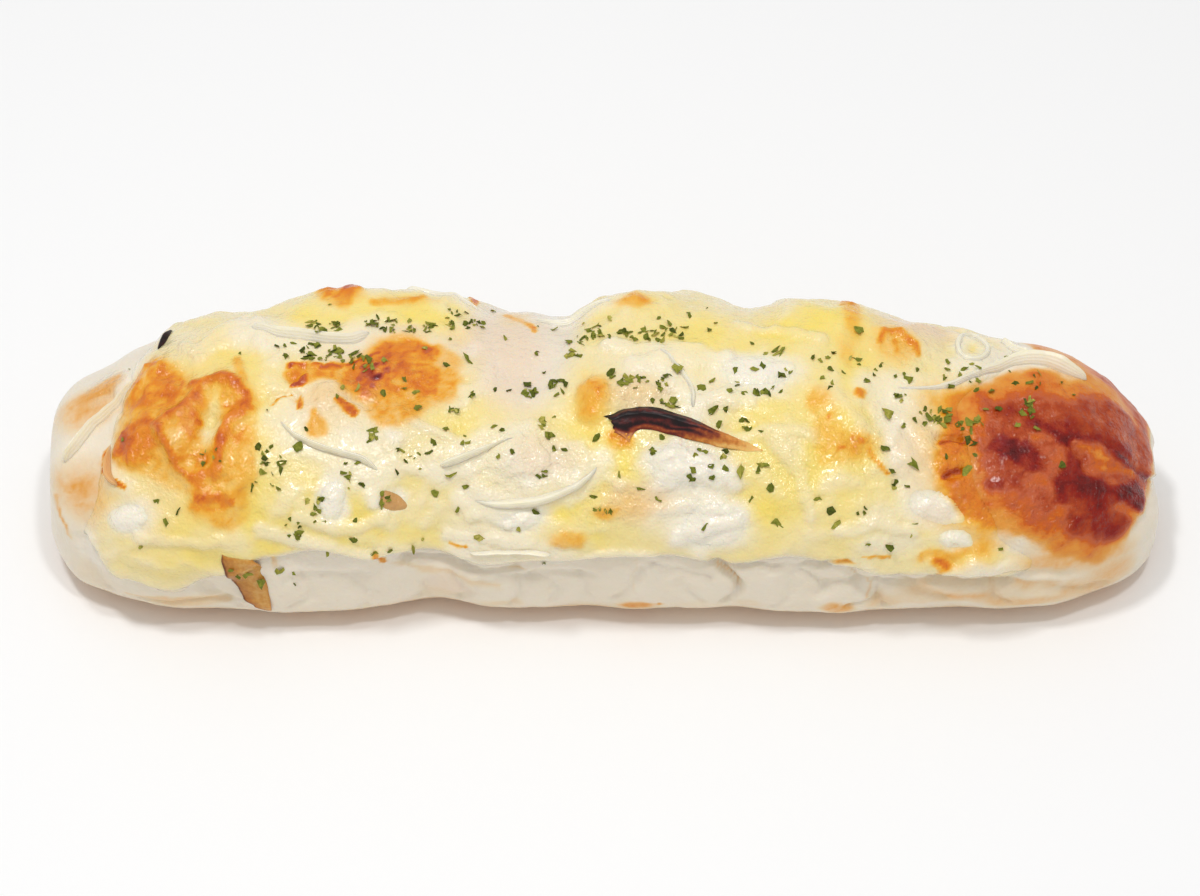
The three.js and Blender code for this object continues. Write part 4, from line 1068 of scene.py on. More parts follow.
def finishTree(tree, geometry, material, smooth=True):
    realized = addNode(tree, "GeometryNodeRealizeInstances", {"Geometry": geometry})
    shaded = addNode(tree, "GeometryNodeSetShadeSmooth", {"Geometry": realized, "Shade Smooth": smooth})
    coated = addNode(tree, "GeometryNodeSetMaterial", {"Geometry": shaded, "Material": material})
    addNode(tree, "NodeGroupOutput", {"Geometry": coated})


def named(tree, title, kind="FLOAT"):
    found = addNode(tree, "GeometryNodeInputNamedAttribute", {"Name": title}, data_type=kind)
    return next(socket for socket in found.outputs if socket.enabled and socket.name == "Attribute")


def maths(tree, operation, *values):
    return addNode(tree, "ShaderNodeMath", dict(enumerate(values)), operation=operation).outputs["Value"]


# A slice of onion swept along a line: a flat ribbed section, as wide as the line's breadth.
def sliceTree():
    tree, given = newTree("onionSlice", [
        ("Flatness", "NodeSocketFloat", 0.4), ("Lens", "NodeSocketFloat", 1.5),
        ("Bow", "NodeSocketFloat", 0.1), ("Ribs", "NodeSocketFloat", 7.0),
        ("Rib Depth", "NodeSocketFloat", 0.12), ("Wrinkle Size", "NodeSocketFloat", 0.002),
        ("Wrinkle Depth", "NodeSocketFloat", 0.0003), ("Material", "NodeSocketMaterial", None)])
    line = addNode(tree, "GeometryNodeMeshToCurve", {"Mesh": given["Geometry"]})
    turned = addNode(tree, "GeometryNodeSetCurveNormal", {"Curve": line}, mode="FREE")
    tree.links.new(named(tree, "upward", "FLOAT_VECTOR"), turned.inputs["Normal"])
    ring = addNode(
        tree, "GeometryNodeCurvePrimitiveCircle", {"Resolution": 26, "Radius": 1.0}, mode="RADIUS")
    spot = addNode(tree, "GeometryNodeInputPosition")
    across, upward = addNode(tree, "ShaderNodeSeparateXYZ", {"Vector": spot}).outputs[:2]
    ribbed = maths(tree, "SINE", maths(tree, "MULTIPLY", across, given["Ribs"]))
    swell = maths(tree, "MULTIPLY_ADD", ribbed, given["Rib Depth"], 1.0)
    lens = maths(tree, "POWER", maths(tree, "ABSOLUTE", upward), given["Lens"])
    signed = maths(tree, "MULTIPLY", maths(tree, "SIGN", upward), lens)
    height = maths(tree, "MULTIPLY", maths(tree, "MULTIPLY", signed, given["Flatness"]), swell)
    fallen = maths(tree, "MULTIPLY", given["Bow"], -1.0)
    bowed = maths(tree, "MULTIPLY_ADD", maths(tree, "MULTIPLY", across, across), fallen, height)
    shaped = addNode(tree, "ShaderNodeCombineXYZ", {"X": across, "Y": bowed})
    tagged = addNode(
        tree, "GeometryNodeStoreNamedAttribute", {"Geometry": ring, "Name": "across"}, data_type="FLOAT",
        domain="POINT")
    valueInput = next(socket for socket in tagged.inputs if socket.name == "Value" and socket.enabled)
    tree.links.new(across, valueInput)
    profile = addNode(tree, "GeometryNodeSetPosition", {"Geometry": tagged, "Position": shaped})
    swept = addNode(tree, "GeometryNodeCurveToMesh", {
        "Curve": turned, "Profile Curve": profile, "Scale": named(tree, "breadth"), "Fill Caps": True})
    scale = maths(tree, "DIVIDE", 1.0, given["Wrinkle Size"])
    noise = addNode(tree, "ShaderNodeTexNoise", {"Vector": spot, "Scale": scale, "Detail": 2.0})
    depth = maths(tree, "MULTIPLY", maths(tree, "SUBTRACT", noise, 0.5), given["Wrinkle Depth"])
    facing = addNode(tree, "GeometryNodeInputNormal")
    away = addNode(tree, "ShaderNodeVectorMath", {0: facing, "Scale": depth}, operation="SCALE")
    wrinkled = addNode(tree, "GeometryNodeSetPosition", {"Geometry": swept, "Offset": away})
    finishTree(tree, wrinkled, given["Material"])
    return tree


# Flakes of dried leaf scattered on bare points: jagged little fans, crumpled, each a thin closed solid.
def flakeTree():
    tree, given = newTree("driedFlakes", [
        ("Corners", "NodeSocketInt", 7), ("Raggedness", "NodeSocketFloat", 0.42),
        ("Crumple Size", "NodeSocketFloat", 0.0009), ("Crumple Depth", "NodeSocketFloat", 0.0005),
        ("Leaf Thickness", "NodeSocketFloat", 0.00006), ("Material", "NodeSocketMaterial", None)])
    fan = addNode(
        tree, "GeometryNodeMeshCircle", {"Vertices": given["Corners"], "Radius": 1.0},
        fill_type="TRIANGLE_FAN")
    turned = addNode(tree, "FunctionNodeAxesToRotation", primary_axis="Z", secondary_axis="X")
    tree.links.new(named(tree, "upward", "FLOAT_VECTOR"), turned.inputs[0])
    tree.links.new(named(tree, "heading", "FLOAT_VECTOR"), turned.inputs[1])
    placed = addNode(tree, "GeometryNodeInstanceOnPoints", {
        "Points": given["Geometry"], "Instance": fan, "Rotation": turned,
        "Scale": named(tree, "stretch", "FLOAT_VECTOR")})
    realized = addNode(tree, "GeometryNodeRealizeInstances", {"Geometry": placed})
    spot = addNode(tree, "GeometryNodeInputPosition")
    scale = maths(tree, "DIVIDE", 1.0, given["Crumple Size"])
    torn = addNode(
        tree, "FunctionNodeRandomValue", {"Min": (-1, -1, -1), "Max": (1, 1, 1), "Seed": 5},
        data_type="FLOAT_VECTOR")
    reach = maths(tree, "MULTIPLY", named(tree, "size"), given["Raggedness"])
    tearing = addNode(tree, "ShaderNodeVectorMath", {0: torn, "Scale": reach}, operation="SCALE")
    ragged = addNode(tree, "GeometryNodeSetPosition", {"Geometry": realized, "Offset": tearing})
    noise = addNode(tree, "ShaderNodeTexNoise", {"Vector": spot, "Scale": scale, "Detail": 1.0})
    centred = addNode(
        tree, "ShaderNodeVectorMath", {0: noise.outputs["Color"], 1: (0.5, 0.5, 0.5)}, operation="SUBTRACT")
    moved = addNode(
        tree, "ShaderNodeVectorMath", {0: centred, "Scale": given["Crumple Depth"]}, operation="SCALE")
    crumpled = addNode(tree, "GeometryNodeSetPosition", {"Geometry": ragged, "Offset": moved})
    raised = addNode(tree, "GeometryNodeExtrudeMesh", {
        "Mesh": crumpled, "Offset Scale": given["Leaf Thickness"], "Individual": False}, mode="FACES")
    flipped = addNode(tree, "GeometryNodeFlipFaces", {"Mesh": crumpled})
    both = addNode(tree, "GeometryNodeJoinGeometry")
    for half in (raised, flipped):
        tree.links.new(half.outputs["Mesh"], both.inputs[0])
    closed = addNode(tree, "GeometryNodeMergeByDistance", {"Geometry": both, "Distance": 0.000001})
    finishTree(tree, closed, given["Material"], smooth=False)
    return tree


# A mesh of bare points and edges, grown into a piece by a node tree and then made plain.
def grow(name, points, edges, floats, vectors, tree, values):
    mesh = bpy.data.meshes.new(name + "Seed")
    mesh.from_pydata((np.asarray(points) * mm).tolist(), edges, [])
    for title, numbers in floats.items():
        mesh.attributes.new(title, "FLOAT", "POINT").data.foreach_set(
            "value", np.asarray(numbers, np.float32))
    for title, numbers in vectors.items():
        mesh.attributes.new(title, "FLOAT_VECTOR", "POINT").data.foreach_set(
            "vector", np.asarray(numbers, np.float32).ravel())
    seed = bpy.data.objects.new(name + "Seed", mesh)
    scene.collection.objects.link(seed)
    modifier = seed.modifiers.new("grow", "NODES")
    modifier.node_group = tree
    for item in tree.interface.items_tree:
        if item.item_type == "SOCKET" and item.in_out == "INPUT" and item.name in values:
            modifier[item.identifier] = values[item.name]
    plain = bpy.data.meshes.new_from_object(seed.evaluated_get(bpy.context.evaluated_depsgraph_get()))
    plain.name = name
    bpy.data.objects.remove(seed)
    bpy.data.meshes.remove(mesh)
    piece = bpy.data.objects.new(name, plain)
    scene.collection.objects.link(piece)
    return piece


# ---- onion slices ----

# Baked onion: milky and translucent, greener at its rims, fine fibres along it and a wet shine.
onionLook = {
    "flesh": "#f5edda", "rim": "#eee4bf", "vein": "#e8dfc4", "toasted": "#d89438", "rough": 0.26,
    "bleed": 1.4, "bleedShare": 0.45}
onionShape = {
    "Lens": 1.5, "Bow": 0.05, "Ribs": 9.0, "Rib Depth": 0.07, "Wrinkle Size": 0.003, "Wrinkle Depth": 0.0005
}


def onionFlesh(name, look):
    material, tree = newMaterial(name)
    place = addNode(tree, "ShaderNodeTexCoord").outputs["Object"]
    across = addNode(tree, "ShaderNodeAttribute", attribute_name="across").outputs["Fac"]
    toasted = addNode(tree, "ShaderNodeAttribute", attribute_name="toast").outputs["Fac"]
    side = addNode(tree, "ShaderNodeMath", {0: across, 1: 4.0}, operation="POWER")
    cloud = noiseOf(tree, place, 2.6)
    rimShare = addNode(tree, "ShaderNodeMath", {0: side, 1: cloud}, operation="MULTIPLY")
    flesh = addNode(tree, "ShaderNodeMix", {
        "Factor_Float": rimShare, "A_Color": linear(look["flesh"]), "B_Color": linear(look["rim"])
    }, data_type="RGBA")
    streak = addNode(tree, "ShaderNodeMath", {0: across, 1: 26.0}, operation="MULTIPLY")
    wave = addNode(tree, "ShaderNodeMath", {0: streak}, operation="SINE")
    vein = addNode(tree, "ShaderNodeMapRange", {"Value": wave, "From Min": 0.4, "To Max": 0.22})
    veined = addNode(tree, "ShaderNodeMix", {
        "Factor_Float": vein, "A_Color": flesh, "B_Color": linear(look["vein"])}, data_type="RGBA")
    colour = addNode(tree, "ShaderNodeMix", {
        "Factor_Float": toasted, "A_Color": veined, "B_Color": linear(look["toasted"])}, data_type="RGBA")
    heights = addNode(
        tree, "ShaderNodeMath", {0: wave, 1: 0.3, 2: noiseOf(tree, place, 0.6)}, operation="MULTIPLY_ADD")
    bump = addNode(tree, "ShaderNodeBump", {"Height": heights, "Strength": 0.8, "Distance": 0.00008})
    shader = addNode(tree, "ShaderNodeBsdfPrincipled", {
        "Base Color": colour, "Roughness": look["rough"], "Normal": bump,
        "Subsurface Weight": look["bleedShare"], "Subsurface Radius": (1.0, 0.9, 0.55),
        "Subsurface Scale": look["bleed"] * mm, "Specular IOR Level": 0.35, "Coat Weight": 0.12,
        "Coat Roughness": 0.1})
    addNode(tree, "ShaderNodeOutputMaterial", {"Surface": shader})
    return material


def laidSlice(name, route, width, thickness, profile, trees, tree, material,
              loop=False, tilt=9.0, browned=0.0, pointed=9):
    line = sampleRoute(route, 0.4, loop)
    x, turn = line[:, 0], line[:, 1] * turnPerMm
    count = len(x)
    share = np.arange(count) / (count - 1)
    lifts = smoothed(seatLifts(trees, x, turn), 2)
    plain = onLoaf(x, turn, lifts)
    widths = blendStops(share, [(place, part) for place, part, stands in profile])
    stands = blendStops(share, [(place, stands) for place, part, stands in profile])
    dips = 0 if loop else 0.5 * smoothStep(np.abs(2 * share - 1), 0.75, 1.0)
    points = onLoaf(x, turn, lifts + thickness * (stands - dips + 0.2 * softNoise(plain, 5.0, 2.1)))
    ahead = np.gradient(points, axis=0)
    ahead /= np.linalg.norm(ahead, axis=1, keepdims=True)
    upward = loafNormal(x, turn)
    sideways = np.cross(ahead, upward)
    lean = np.radians(tilt) * softNoise(plain, 9.0, width)[:, None]
    upward = upward * np.cos(lean) + sideways * np.sin(lean)
    ends = 1 if loop else (1 - np.abs(2 * share - 1) ** pointed) ** 0.5
    breadth = width / 2 * widths * (1 + 0.14 * softNoise(plain, 5.0, thickness)) * np.maximum(ends, 0.08)
    edges = [(at, at + 1) for at in range(count - 1)] + ([(count - 1, 0)] if loop else [])
    toast = np.maximum(0.4 * paintToast(Field(x, turn)), browned * smoothStep(share, -0.3, 0.3))
    values = {**onionShape, "Flatness": thickness / width * 1.15, "Material": material}
    return grow(
        name, points, edges, {"breadth": breadth * mm, "toast": toast}, {"upward": upward}, tree, values)


onionTree = sliceTree()
onionMaterial = onionFlesh("bakedOnion", onionLook)
seats = treesOf([bread, cheesePiece])
laid = [bread, cheesePiece]
amberSlices = {"onion_left_edge": 0.8}
for node, (title, route, width, thickness, profile) in onionSlices.items():
    piece = laidSlice(
        title, route, width, thickness, profile, seats, onionTree, onionMaterial, loop=node == "onion_ring",
        browned=amberSlices.get(node, 0.0))
    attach(piece, "root")
    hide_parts(node)
    laid.append(piece)
print("onion slices", len(onionSlices), flush=True)

# ---- white bits ----

bitRings, bitCorners = 18, 64


def mound(x, turn, length, width, height, skew, pointed, trees):
    angle = np.linspace(0, math.tau, bitCorners, endpoint=False)
    around = np.stack([np.cos(angle) * 1.3, np.sin(angle) * 1.3, 0 * angle + x], -1)
    outline = 1.12 + 0.2 * softNoise(around, 1.0) + 0.08 * softNoise(around, 0.45)
    outline = outline + pointed * bell(np.sin(angle / 2) / 0.22)
    shares = np.array([0.55, 0.9, 1.03, 1.0] + list(np.linspace(0.96, 0.05, bitRings)))[:, None]
    along = length / 2 * shares * outline * roundedPower(np.cos(angle), 2.3)
    aside = width / 2 * shares * outline * roundedPower(np.sin(angle), 2.3)
    turned = math.radians(skew)
    placeX = x + along * math.cos(turned) - aside * math.sin(turned)
    placeTurn = turn + (along * math.sin(turned) + aside * math.cos(turned)) * turnPerMm
    lifts = seatLifts(trees, placeX.ravel(), placeTurn.ravel()).reshape(placeX.shape)
    inward = np.clip(1 - shares ** 2, 0, 1) ** 1.5
    places = unrolled(placeX, placeTurn)
    lumps = 0.45 * softNoise(places, 3.0, x) + 0.2 * softNoise(places, 1.4, x)
    rise = -0.06 + height * inward * (1 + lumps.reshape(placeX.shape))
    under = np.where(shares > 1.001, -0.5, rise)
    under[:2] = -1.2
    rings = onLoaf(placeX, placeTurn, lifts + under)
    field = Field(placeX.ravel(), placeTurn.ravel())
    middle = np.broadcast_to(smoothStep(inward, 0.1, 0.7), placeX.shape).ravel()
    painted = {
        "toast": 0.6 * paintToast(field), "yellow": paintYellow(field), "white": paintWhite(field, 0.08),
        "pink": paintSpots(field, 0, pinkSpots), "wet": np.full(len(middle), 0.5), "thin": thinness(field)}
    painted["white"] = lay(painted["white"], 0.95, middle * 0.8)
    painted["toast"] = painted["toast"] * (1 - 0.6 * middle)
    return rings, painted


bitMaterial = bakedSkin("whiteBits", skinLooks["cheese"])
tanMaterial = bakedSkin("tannedBit", skinLooks["tan"])
for node, (title, x, turn, length, width, height, skew, pointed) in whiteChunks.items():
    rings, painted = mound(x, turn, length, width, height, skew, pointed, seats)
    tanned = node == "chunk_tan"
    if tanned:
        painted = {
            **painted, "toast": 0.3 * painted["toast"], "white": 0 * painted["white"],
            "yellow": 0 * painted["white"], "thin": 0 * painted["white"]}
    points, faces = closedRings(rings)
    painted = {part: withPoles(values, bitCorners) for part, values in painted.items()}
    piece = meshOf(title, points, faces, [tanMaterial if tanned else bitMaterial], painted)
    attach(piece, "root")
    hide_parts(node)
    laid.append(piece)
print("white bits", len(whiteChunks), flush=True)

# ---- charred onion ----


# Flesh whose colour runs along a ramp with a painted value; grain and wrinkle are mm wide, depth is in mm.
def tonedFlesh(name, look, stops):
    material, tree = newMaterial(name)
    place = addNode(tree, "ShaderNodeTexCoord").outputs["Object"]
    tone = addNode(tree, "ShaderNodeAttribute", attribute_name=look["painted"]).outputs["Fac"]
    grain = addNode(tree, "ShaderNodeMapRange", {
        "Value": noiseOf(tree, place, look["grain"]), "From Min": 0.3, "From Max": 0.7,
        "To Min": -look["spread"], "To Max": look["spread"]})
    level = addNode(tree, "ShaderNodeMath", {0: tone, 1: grain}, operation="ADD")
    colour = setRamp(addNode(tree, "ShaderNodeValToRGB", {"Fac": level}), stops)
    wrinkles = noiseOf(tree, place, look["wrinkle"])
    bump = addNode(tree, "ShaderNodeBump", {
        "Height": wrinkles, "Strength": look["strength"], "Distance": look["depth"] * mm})
    shader = addNode(tree, "ShaderNodeBsdfPrincipled", {
        "Base Color": colour, "Roughness": look["rough"], "Normal": bump,
        "Subsurface Weight": look["bleedShare"], "Subsurface Radius": (1.0, 0.4, 0.15),
        "Subsurface Scale": look["bleed"] * mm, "Specular IOR Level": look["shine"],
        "Coat Weight": look["oil"], "Coat Roughness": 0.2})
    addNode(tree, "ShaderNodeOutputMaterial", {"Surface": shader})
    return material


# A closed sheet lying along a grid of places, with its burning.
def sheetOn(x, turn, lift, thickness, burnt):
    every = np.ones((x.shape[0] - 1, x.shape[1] - 1), bool)
    points, faces, used = closedShell(onLoaf(x, turn, lift), onLoaf(x, turn, lift - thickness), every)
    return points, faces, {"burnt": np.tile(np.clip(burnt, 0, 1).ravel()[used], 2)}


# Charred onion: tan where it is only browned, through burgundy to nearly black, dry with a dull sheen.
charLook = {
    "painted": "burnt", "grain": 0.8, "spread": 0.1, "wrinkle": 0.5, "strength": 0.9, "depth": 0.1,
    "rough": 0.42, "bleedShare": 0.3, "bleed": 0.5, "shine": 0.3, "oil": 0.06}
charColours = [
    (0.0, "#eab768"), (0.22, "#cd8438"), (0.45, "#94421f"), (0.66, "#561a18"), (0.84, "#24090a"),
    (1.0, "#100506")]
charred = tonedFlesh("charredOnion", charLook, charColours)
strip = {
    "route": [(1.4, 67.5), (4, 69), (8, 68.5), (12, 65.5), (16.5, 62.5), (21, 60.5), (25.5, 59)],
    "arch": 0.9, "thickness": 0.3}


# A folded strip: a dark ridge, its back edge low, and its front side sloping to the cheese.
def charredStrip(strip, trees):
    line = sampleRoute(strip["route"], 0.25)
    ahead = np.gradient(line, axis=0)
    ahead /= np.linalg.norm(ahead, axis=1, keepdims=True)
    share = np.linspace(0, 1, len(line))[:, None]
    across = np.linspace(-1, 1, 27)[None, :]
    base = smoothed(seatLifts(trees, line[:, 0], line[:, 1] * turnPerMm), 6)[:, None]
    half = blendStops(share, [(0, 1.25), (0.1, 1.6), (0.45, 1.55), (0.7, 1.15), (0.88, 0.75), (1, 0.15)])
    flapHere = bell((share - 0.075) / 0.055) * (across < 0)
    reach = half * (1 + 1.3 * flapHere)
    ragged = -1.1 * bell(share / 0.04) * smoothStep(across, 0.1, 1.0)
    ragged = ragged + 0.12 * bell(share / 0.03) * np.sin(across * 14)
    x = line[:, :1] - ahead[:, 1:] * across * reach + ragged
    turn = (line[:, 1:] + ahead[:, :1] * across * reach) * turnPerMm
    ridge = np.interp(across[0], [-1, -0.5, 0.15, 0.45, 1], [-0.2, 0.35, 1.35, 1.25, 0.2])
    ridge = ridge[None, :] * half / 1.6
    places = unrolled(x, turn)
    curl = (0.3 * softNoise(places, 2.2) + 0.14 * softNoise(places, 0.9)).reshape(x.shape)
    arch = strip["arch"] * np.sin(math.pi * np.clip(share * 1.1, 0, 1))
    lift = base + 0.1 + arch * (0.8 + 0.2 * across) + ridge * smoothStep(1 - share, 0, 0.35)
    lift = lift + curl * (1 - 0.8 * share)
    lift = np.maximum(lift - 1.2 * flapHere * across ** 2, base + 0.05)
    burnt = blendStops(share, [(0, 0.98), (0.45, 0.95), (0.62, 0.66), (0.78, 0.32), (1, 0.0)]) + 0 * across
    burnt = burnt - 0.34 * smoothStep(-across, 0.1, 0.9) - 0.4 * flapHere * smoothStep(-across, 0.5, 0.95)
    fibres = softNoise(places * np.array([0.25, 1, 1]), 1.0).reshape(x.shape)
    streaks = 0.16 * np.sin(across * 9 + 3 * fibres)
    burnt = burnt + streaks * smoothStep(burnt, 0.3, 0.8) - 0.1
    return sheetOn(x, turn, lift, strip["thickness"], burnt)


points, faces, painted = charredStrip(strip, seats)
piece = meshOf("charredStrip", points, faces, [charred], painted)
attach(piece, "root")
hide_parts("onion_charred")
laid.append(piece)

tip = laidSlice(
    "charredTip", [(-74.3, 107.5), (-73.7, 115), (-72.4, 124.5)], 1.2, 0.8,
    [(0, 0.8, 0.1), (0.5, 1.1, 0.3), (1, 0.8, 0.2)], seats, onionTree, charred, pointed=2)
tip.data.attributes.new("burnt", "FLOAT", "POINT").data.foreach_set("value", [0.9] * len(tip.data.vertices))
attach(tip, "root")
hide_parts("onion_charred_tip")
laid.append(tip)

# ---- the slice hanging over the front edge ----

# Amber onion: browned glassy and soft, darkest at its edges.
amberColours = [(0.0, "#ecdcb4"), (0.3, "#e0b970"), (0.55, "#cd9140"), (0.8, "#b06f2a"), (1.0, "#6f3c18")]
amber = tonedFlesh("amberOnion", {**charLook, "rough": 0.28, "bleed": 1.0}, amberColours)
flap = {  # (turn, x) down its left and right edges
    "left": [(-13, -56.4), (-9, -58.0), (-3.5, -59.7), (5, -61.3), (12, -62.0), (18, -62.4), (21, -62.2)],
    "right": [(-13, -55.2), (-6, -55.2), (0, -55.4), (9, -56.0), (14, -56.4), (18, -57.4), (21, -60.0)],
    "top": 21, "tip": -13, "thickness": 0.3, "rows": 54, "columns": 30,
}


def highestNear(values, reach):
    padded = np.pad(values, reach, mode="edge")
    span = 2 * reach + 1
    highest = values
    for down in range(span):
        for along in range(span):
            window = padded[down:down + values.shape[0], along:along + values.shape[1]]
            highest = np.maximum(highest, window)
    return highest


def blurred(values, reach):
    for axis in (0, 1):
        values = np.apply_along_axis(smoothed, axis, values, reach)
    return values


def hangingSlice(flap, trees):
    share = np.linspace(0, 1, flap["rows"])[:, None]
    across = np.linspace(0, 1, flap["columns"])[None, :]
    turn = flap["top"] + (flap["tip"] - flap["top"]) * share + 2.5 * (0.5 - across) * (1 - share)
    left, right = blendStops(turn, flap["left"]), blendStops(turn, flap["right"])
    x = left + (right - left) * across
    places = unrolled(x, turn)
    base = seatLifts(trees, x.ravel(), turn.ravel()).reshape(x.shape)
    base = blurred(highestNear(base, 3), 3)
    crumple = (0.18 * softNoise(places, 3.4, 4.2) + 0.06 * softNoise(places, 1.3)).reshape(x.shape)
    lift = base + 0.12 + 0.4 * smoothStep(share, 0.3, 1.0) + crumple * smoothStep(share, 0, 0.3)
    lift = lift - 0.45 * (1 - smoothStep(share, 0, 0.14))
    lift = lift - 0.25 * smoothStep(across, 0.8, 1.0) * (1 - share)
    tone = 0.76 - 0.24 * smoothStep(across, 0.05, 0.6) + 0.3 * (1 - smoothStep(across, 0.0, 0.1))
    tone = tone + 0.14 * smoothStep(across, 0.9, 1.0)
    tone = tone - 0.3 * (1 - smoothStep(share, 0, 0.1)) + 0.2 * smoothStep(share, 0.93, 1.0)
    return sheetOn(x, turn, lift, flap["thickness"], tone)


points, faces, painted = hangingSlice(flap, seats)
piece = meshOf("hangingSlice", points, faces, [amber], painted)
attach(piece, "root")
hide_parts("onion_flap")
laid.append(piece)
print("charred and hanging slices laid", flush=True)

# ---- dried herb flakes ----

herb = {"scale": 0.72, "tilt": 30.0, "clear": 0.08}
herbTones = [(0.0, "#3f4710"), (0.3, "#61691d"), (0.6, "#84872f"), (0.85, "#a39c42"), (1.0, "#c1b562")]
herbFlakes = [  # x, turn, length mm, width share
    (-72.5, 43, 1.8, 0.7), (-69, 38.5, 2.0, 0.25), (-71, 34.5, 1.9, 0.6), (-75.2, 24, 1.2, 0.6),
    (-78, 68, 1.2, 0.6), (-49.5, 59.5, 2.3, 0.8), (-48.3, 66, 1.8, 0.5), (-52.8, 107, 1.5, 0.5),
    (-61, 13.5, 1.8, 0.6), (-60, 10, 1.8, 0.6), (-58.5, 9.5, 3.0, 0.7), (-56.3, 3.5, 3.0, 0.6),
    (-53.3, 9.5, 3.0, 0.55), (-51, 8, 1.0, 0.7), (-51, 1.5, 1.1, 0.7), (-45, 21, 2.0, 0.4),
    (-38.5, 111, 2.8, 0.7), (-29.3, 110.5, 2.9, 0.7), (-19, 132, 1.8, 0.5), (-40.5, 82.5, 3.0, 0.35),
    (-42.8, 82, 1.8, 0.6), (-43.5, 77.5, 1.6, 0.5), (-36.3, 80, 1.8, 0.7), (-36.3, 93.5, 1.8, 0.6),
    (-32.8, 86, 1.5, 0.6), (-32.8, 82, 1.4, 0.6), (-31, 80.5, 1.6, 0.7), (-26, 91.5, 1.9, 0.5),
    (-22.5, 93, 3.6, 0.3), (-30.5, 73, 2.0, 0.8), (-16.6, 106, 2.2, 0.4), (-18, 82, 1.4, 0.4),
    (-15.8, 82, 1.4, 0.5), (-25.7, 64.5, 2.0, 0.5), (-18, 67, 2.0, 0.4), (-16.5, 65.5, 1.8, 0.5),
    (-17.2, 56, 1.6, 0.7), (-15, 57, 1.4, 0.7), (-11.3, 97, 1.2, 0.6), (-10, 89, 1.2, 0.5),
    (-6, 104.5, 2.8, 0.8), (-8.5, 115, 1.8, 0.6), (-22.3, 44.5, 1.6, 0.7), (-24.7, 48, 3.2, 0.22),
    (-27.5, 40.5, 2.3, 0.7), (-23.6, 35.5, 1.8, 0.5), (-11.2, 36, 1.9, 0.8), (-14, 30, 1.8, 0.6),
    (-20.3, 25.5, 3.0, 0.6), (-31.5, 18.5, 3.4, 0.2), (-29.8, 22, 1.2, 0.5), (-41, 26, 2.0, 0.6),
    (-40.7, 33, 1.6, 0.5), (-38, 19.5, 2.0, 0.4), (-35.3, 19.5, 1.6, 0.5), (-10, 11.8, 1.4, 0.4),
    (1.2, 109.5, 2.2, 0.5), (8.9, 109, 1.6, 0.4), (14, 112, 2.2, 0.5), (17.2, 105, 2.0, 0.6),
    (18.3, 109.5, 1.8, 0.6), (1.2, 85, 2.9, 0.6), (12, 86.5, 3.2, 0.8), (15.5, 80.5, 2.2, 0.9),
    (17.3, 83, 2.0, 0.4), (17.5, 72, 3.6, 0.45), (29, 86, 2.4, 0.8), (26.5, 94.5, 1.6, 0.6),
    (24.3, 100.5, 1.3, 0.5), (42, 106.5, 2.8, 0.7), (-1, 62.5, 2.6, 0.45), (9.2, 62.3, 1.8, 0.6),
    (22, 51, 3.6, 0.4), (26.7, 46.3, 2.2, 0.7), (23.7, 41.7, 1.6, 0.6), (2.5, 49, 2.0, 0.4),
    (5.7, 44.7, 2.0, 0.5), (8.5, 40.7, 1.8, 0.4), (-1.5, 41.5, 2.2, 0.35), (16.2, 31.2, 2.4, 0.3),
    (28, 32.5, 3.2, 0.5), (34.3, 41.7, 1.9, 0.5), (36.5, 37.5, 2.6, 0.7), (37.3, 33, 3.0, 0.25),
    (42.5, 25.5, 1.4, 0.6), (49.6, 87, 2.4, 0.6), (56.9, 87.3, 2.4, 0.7), (63.7, 87.5, 2.6, 0.35),
    (67.7, 75, 1.8, 0.7), (62.5, 80, 1.8, 0.6), (64.7, 80.5, 3.2, 0.35), (61, 76, 2.0, 0.6),
    (56, 75, 3.0, 0.7), (45.7, 73.5, 3.0, 0.7), (59.7, 67.5, 2.8, 0.8), (48.5, 70, 1.5, 0.7),
    (45.3, 61, 3.0, 0.5), (49.5, 56.5, 3.4, 0.6), (46.3, 53, 1.8, 0.7), (59, 56, 3.2, 0.6),
    (60.3, 62, 1.2, 0.5), (55.3, 60, 1.6, 0.4), (74.7, 59.5, 2.2, 0.8), (70.8, 73.5, 1.7, 0.6),
    (50.3, 34, 1.4, 0.5), (49.7, 29.5, 1.6, 0.3), (46, 24.5, 2.6, 0.7), (64.3, 23.5, 1.6, 0.6),
]
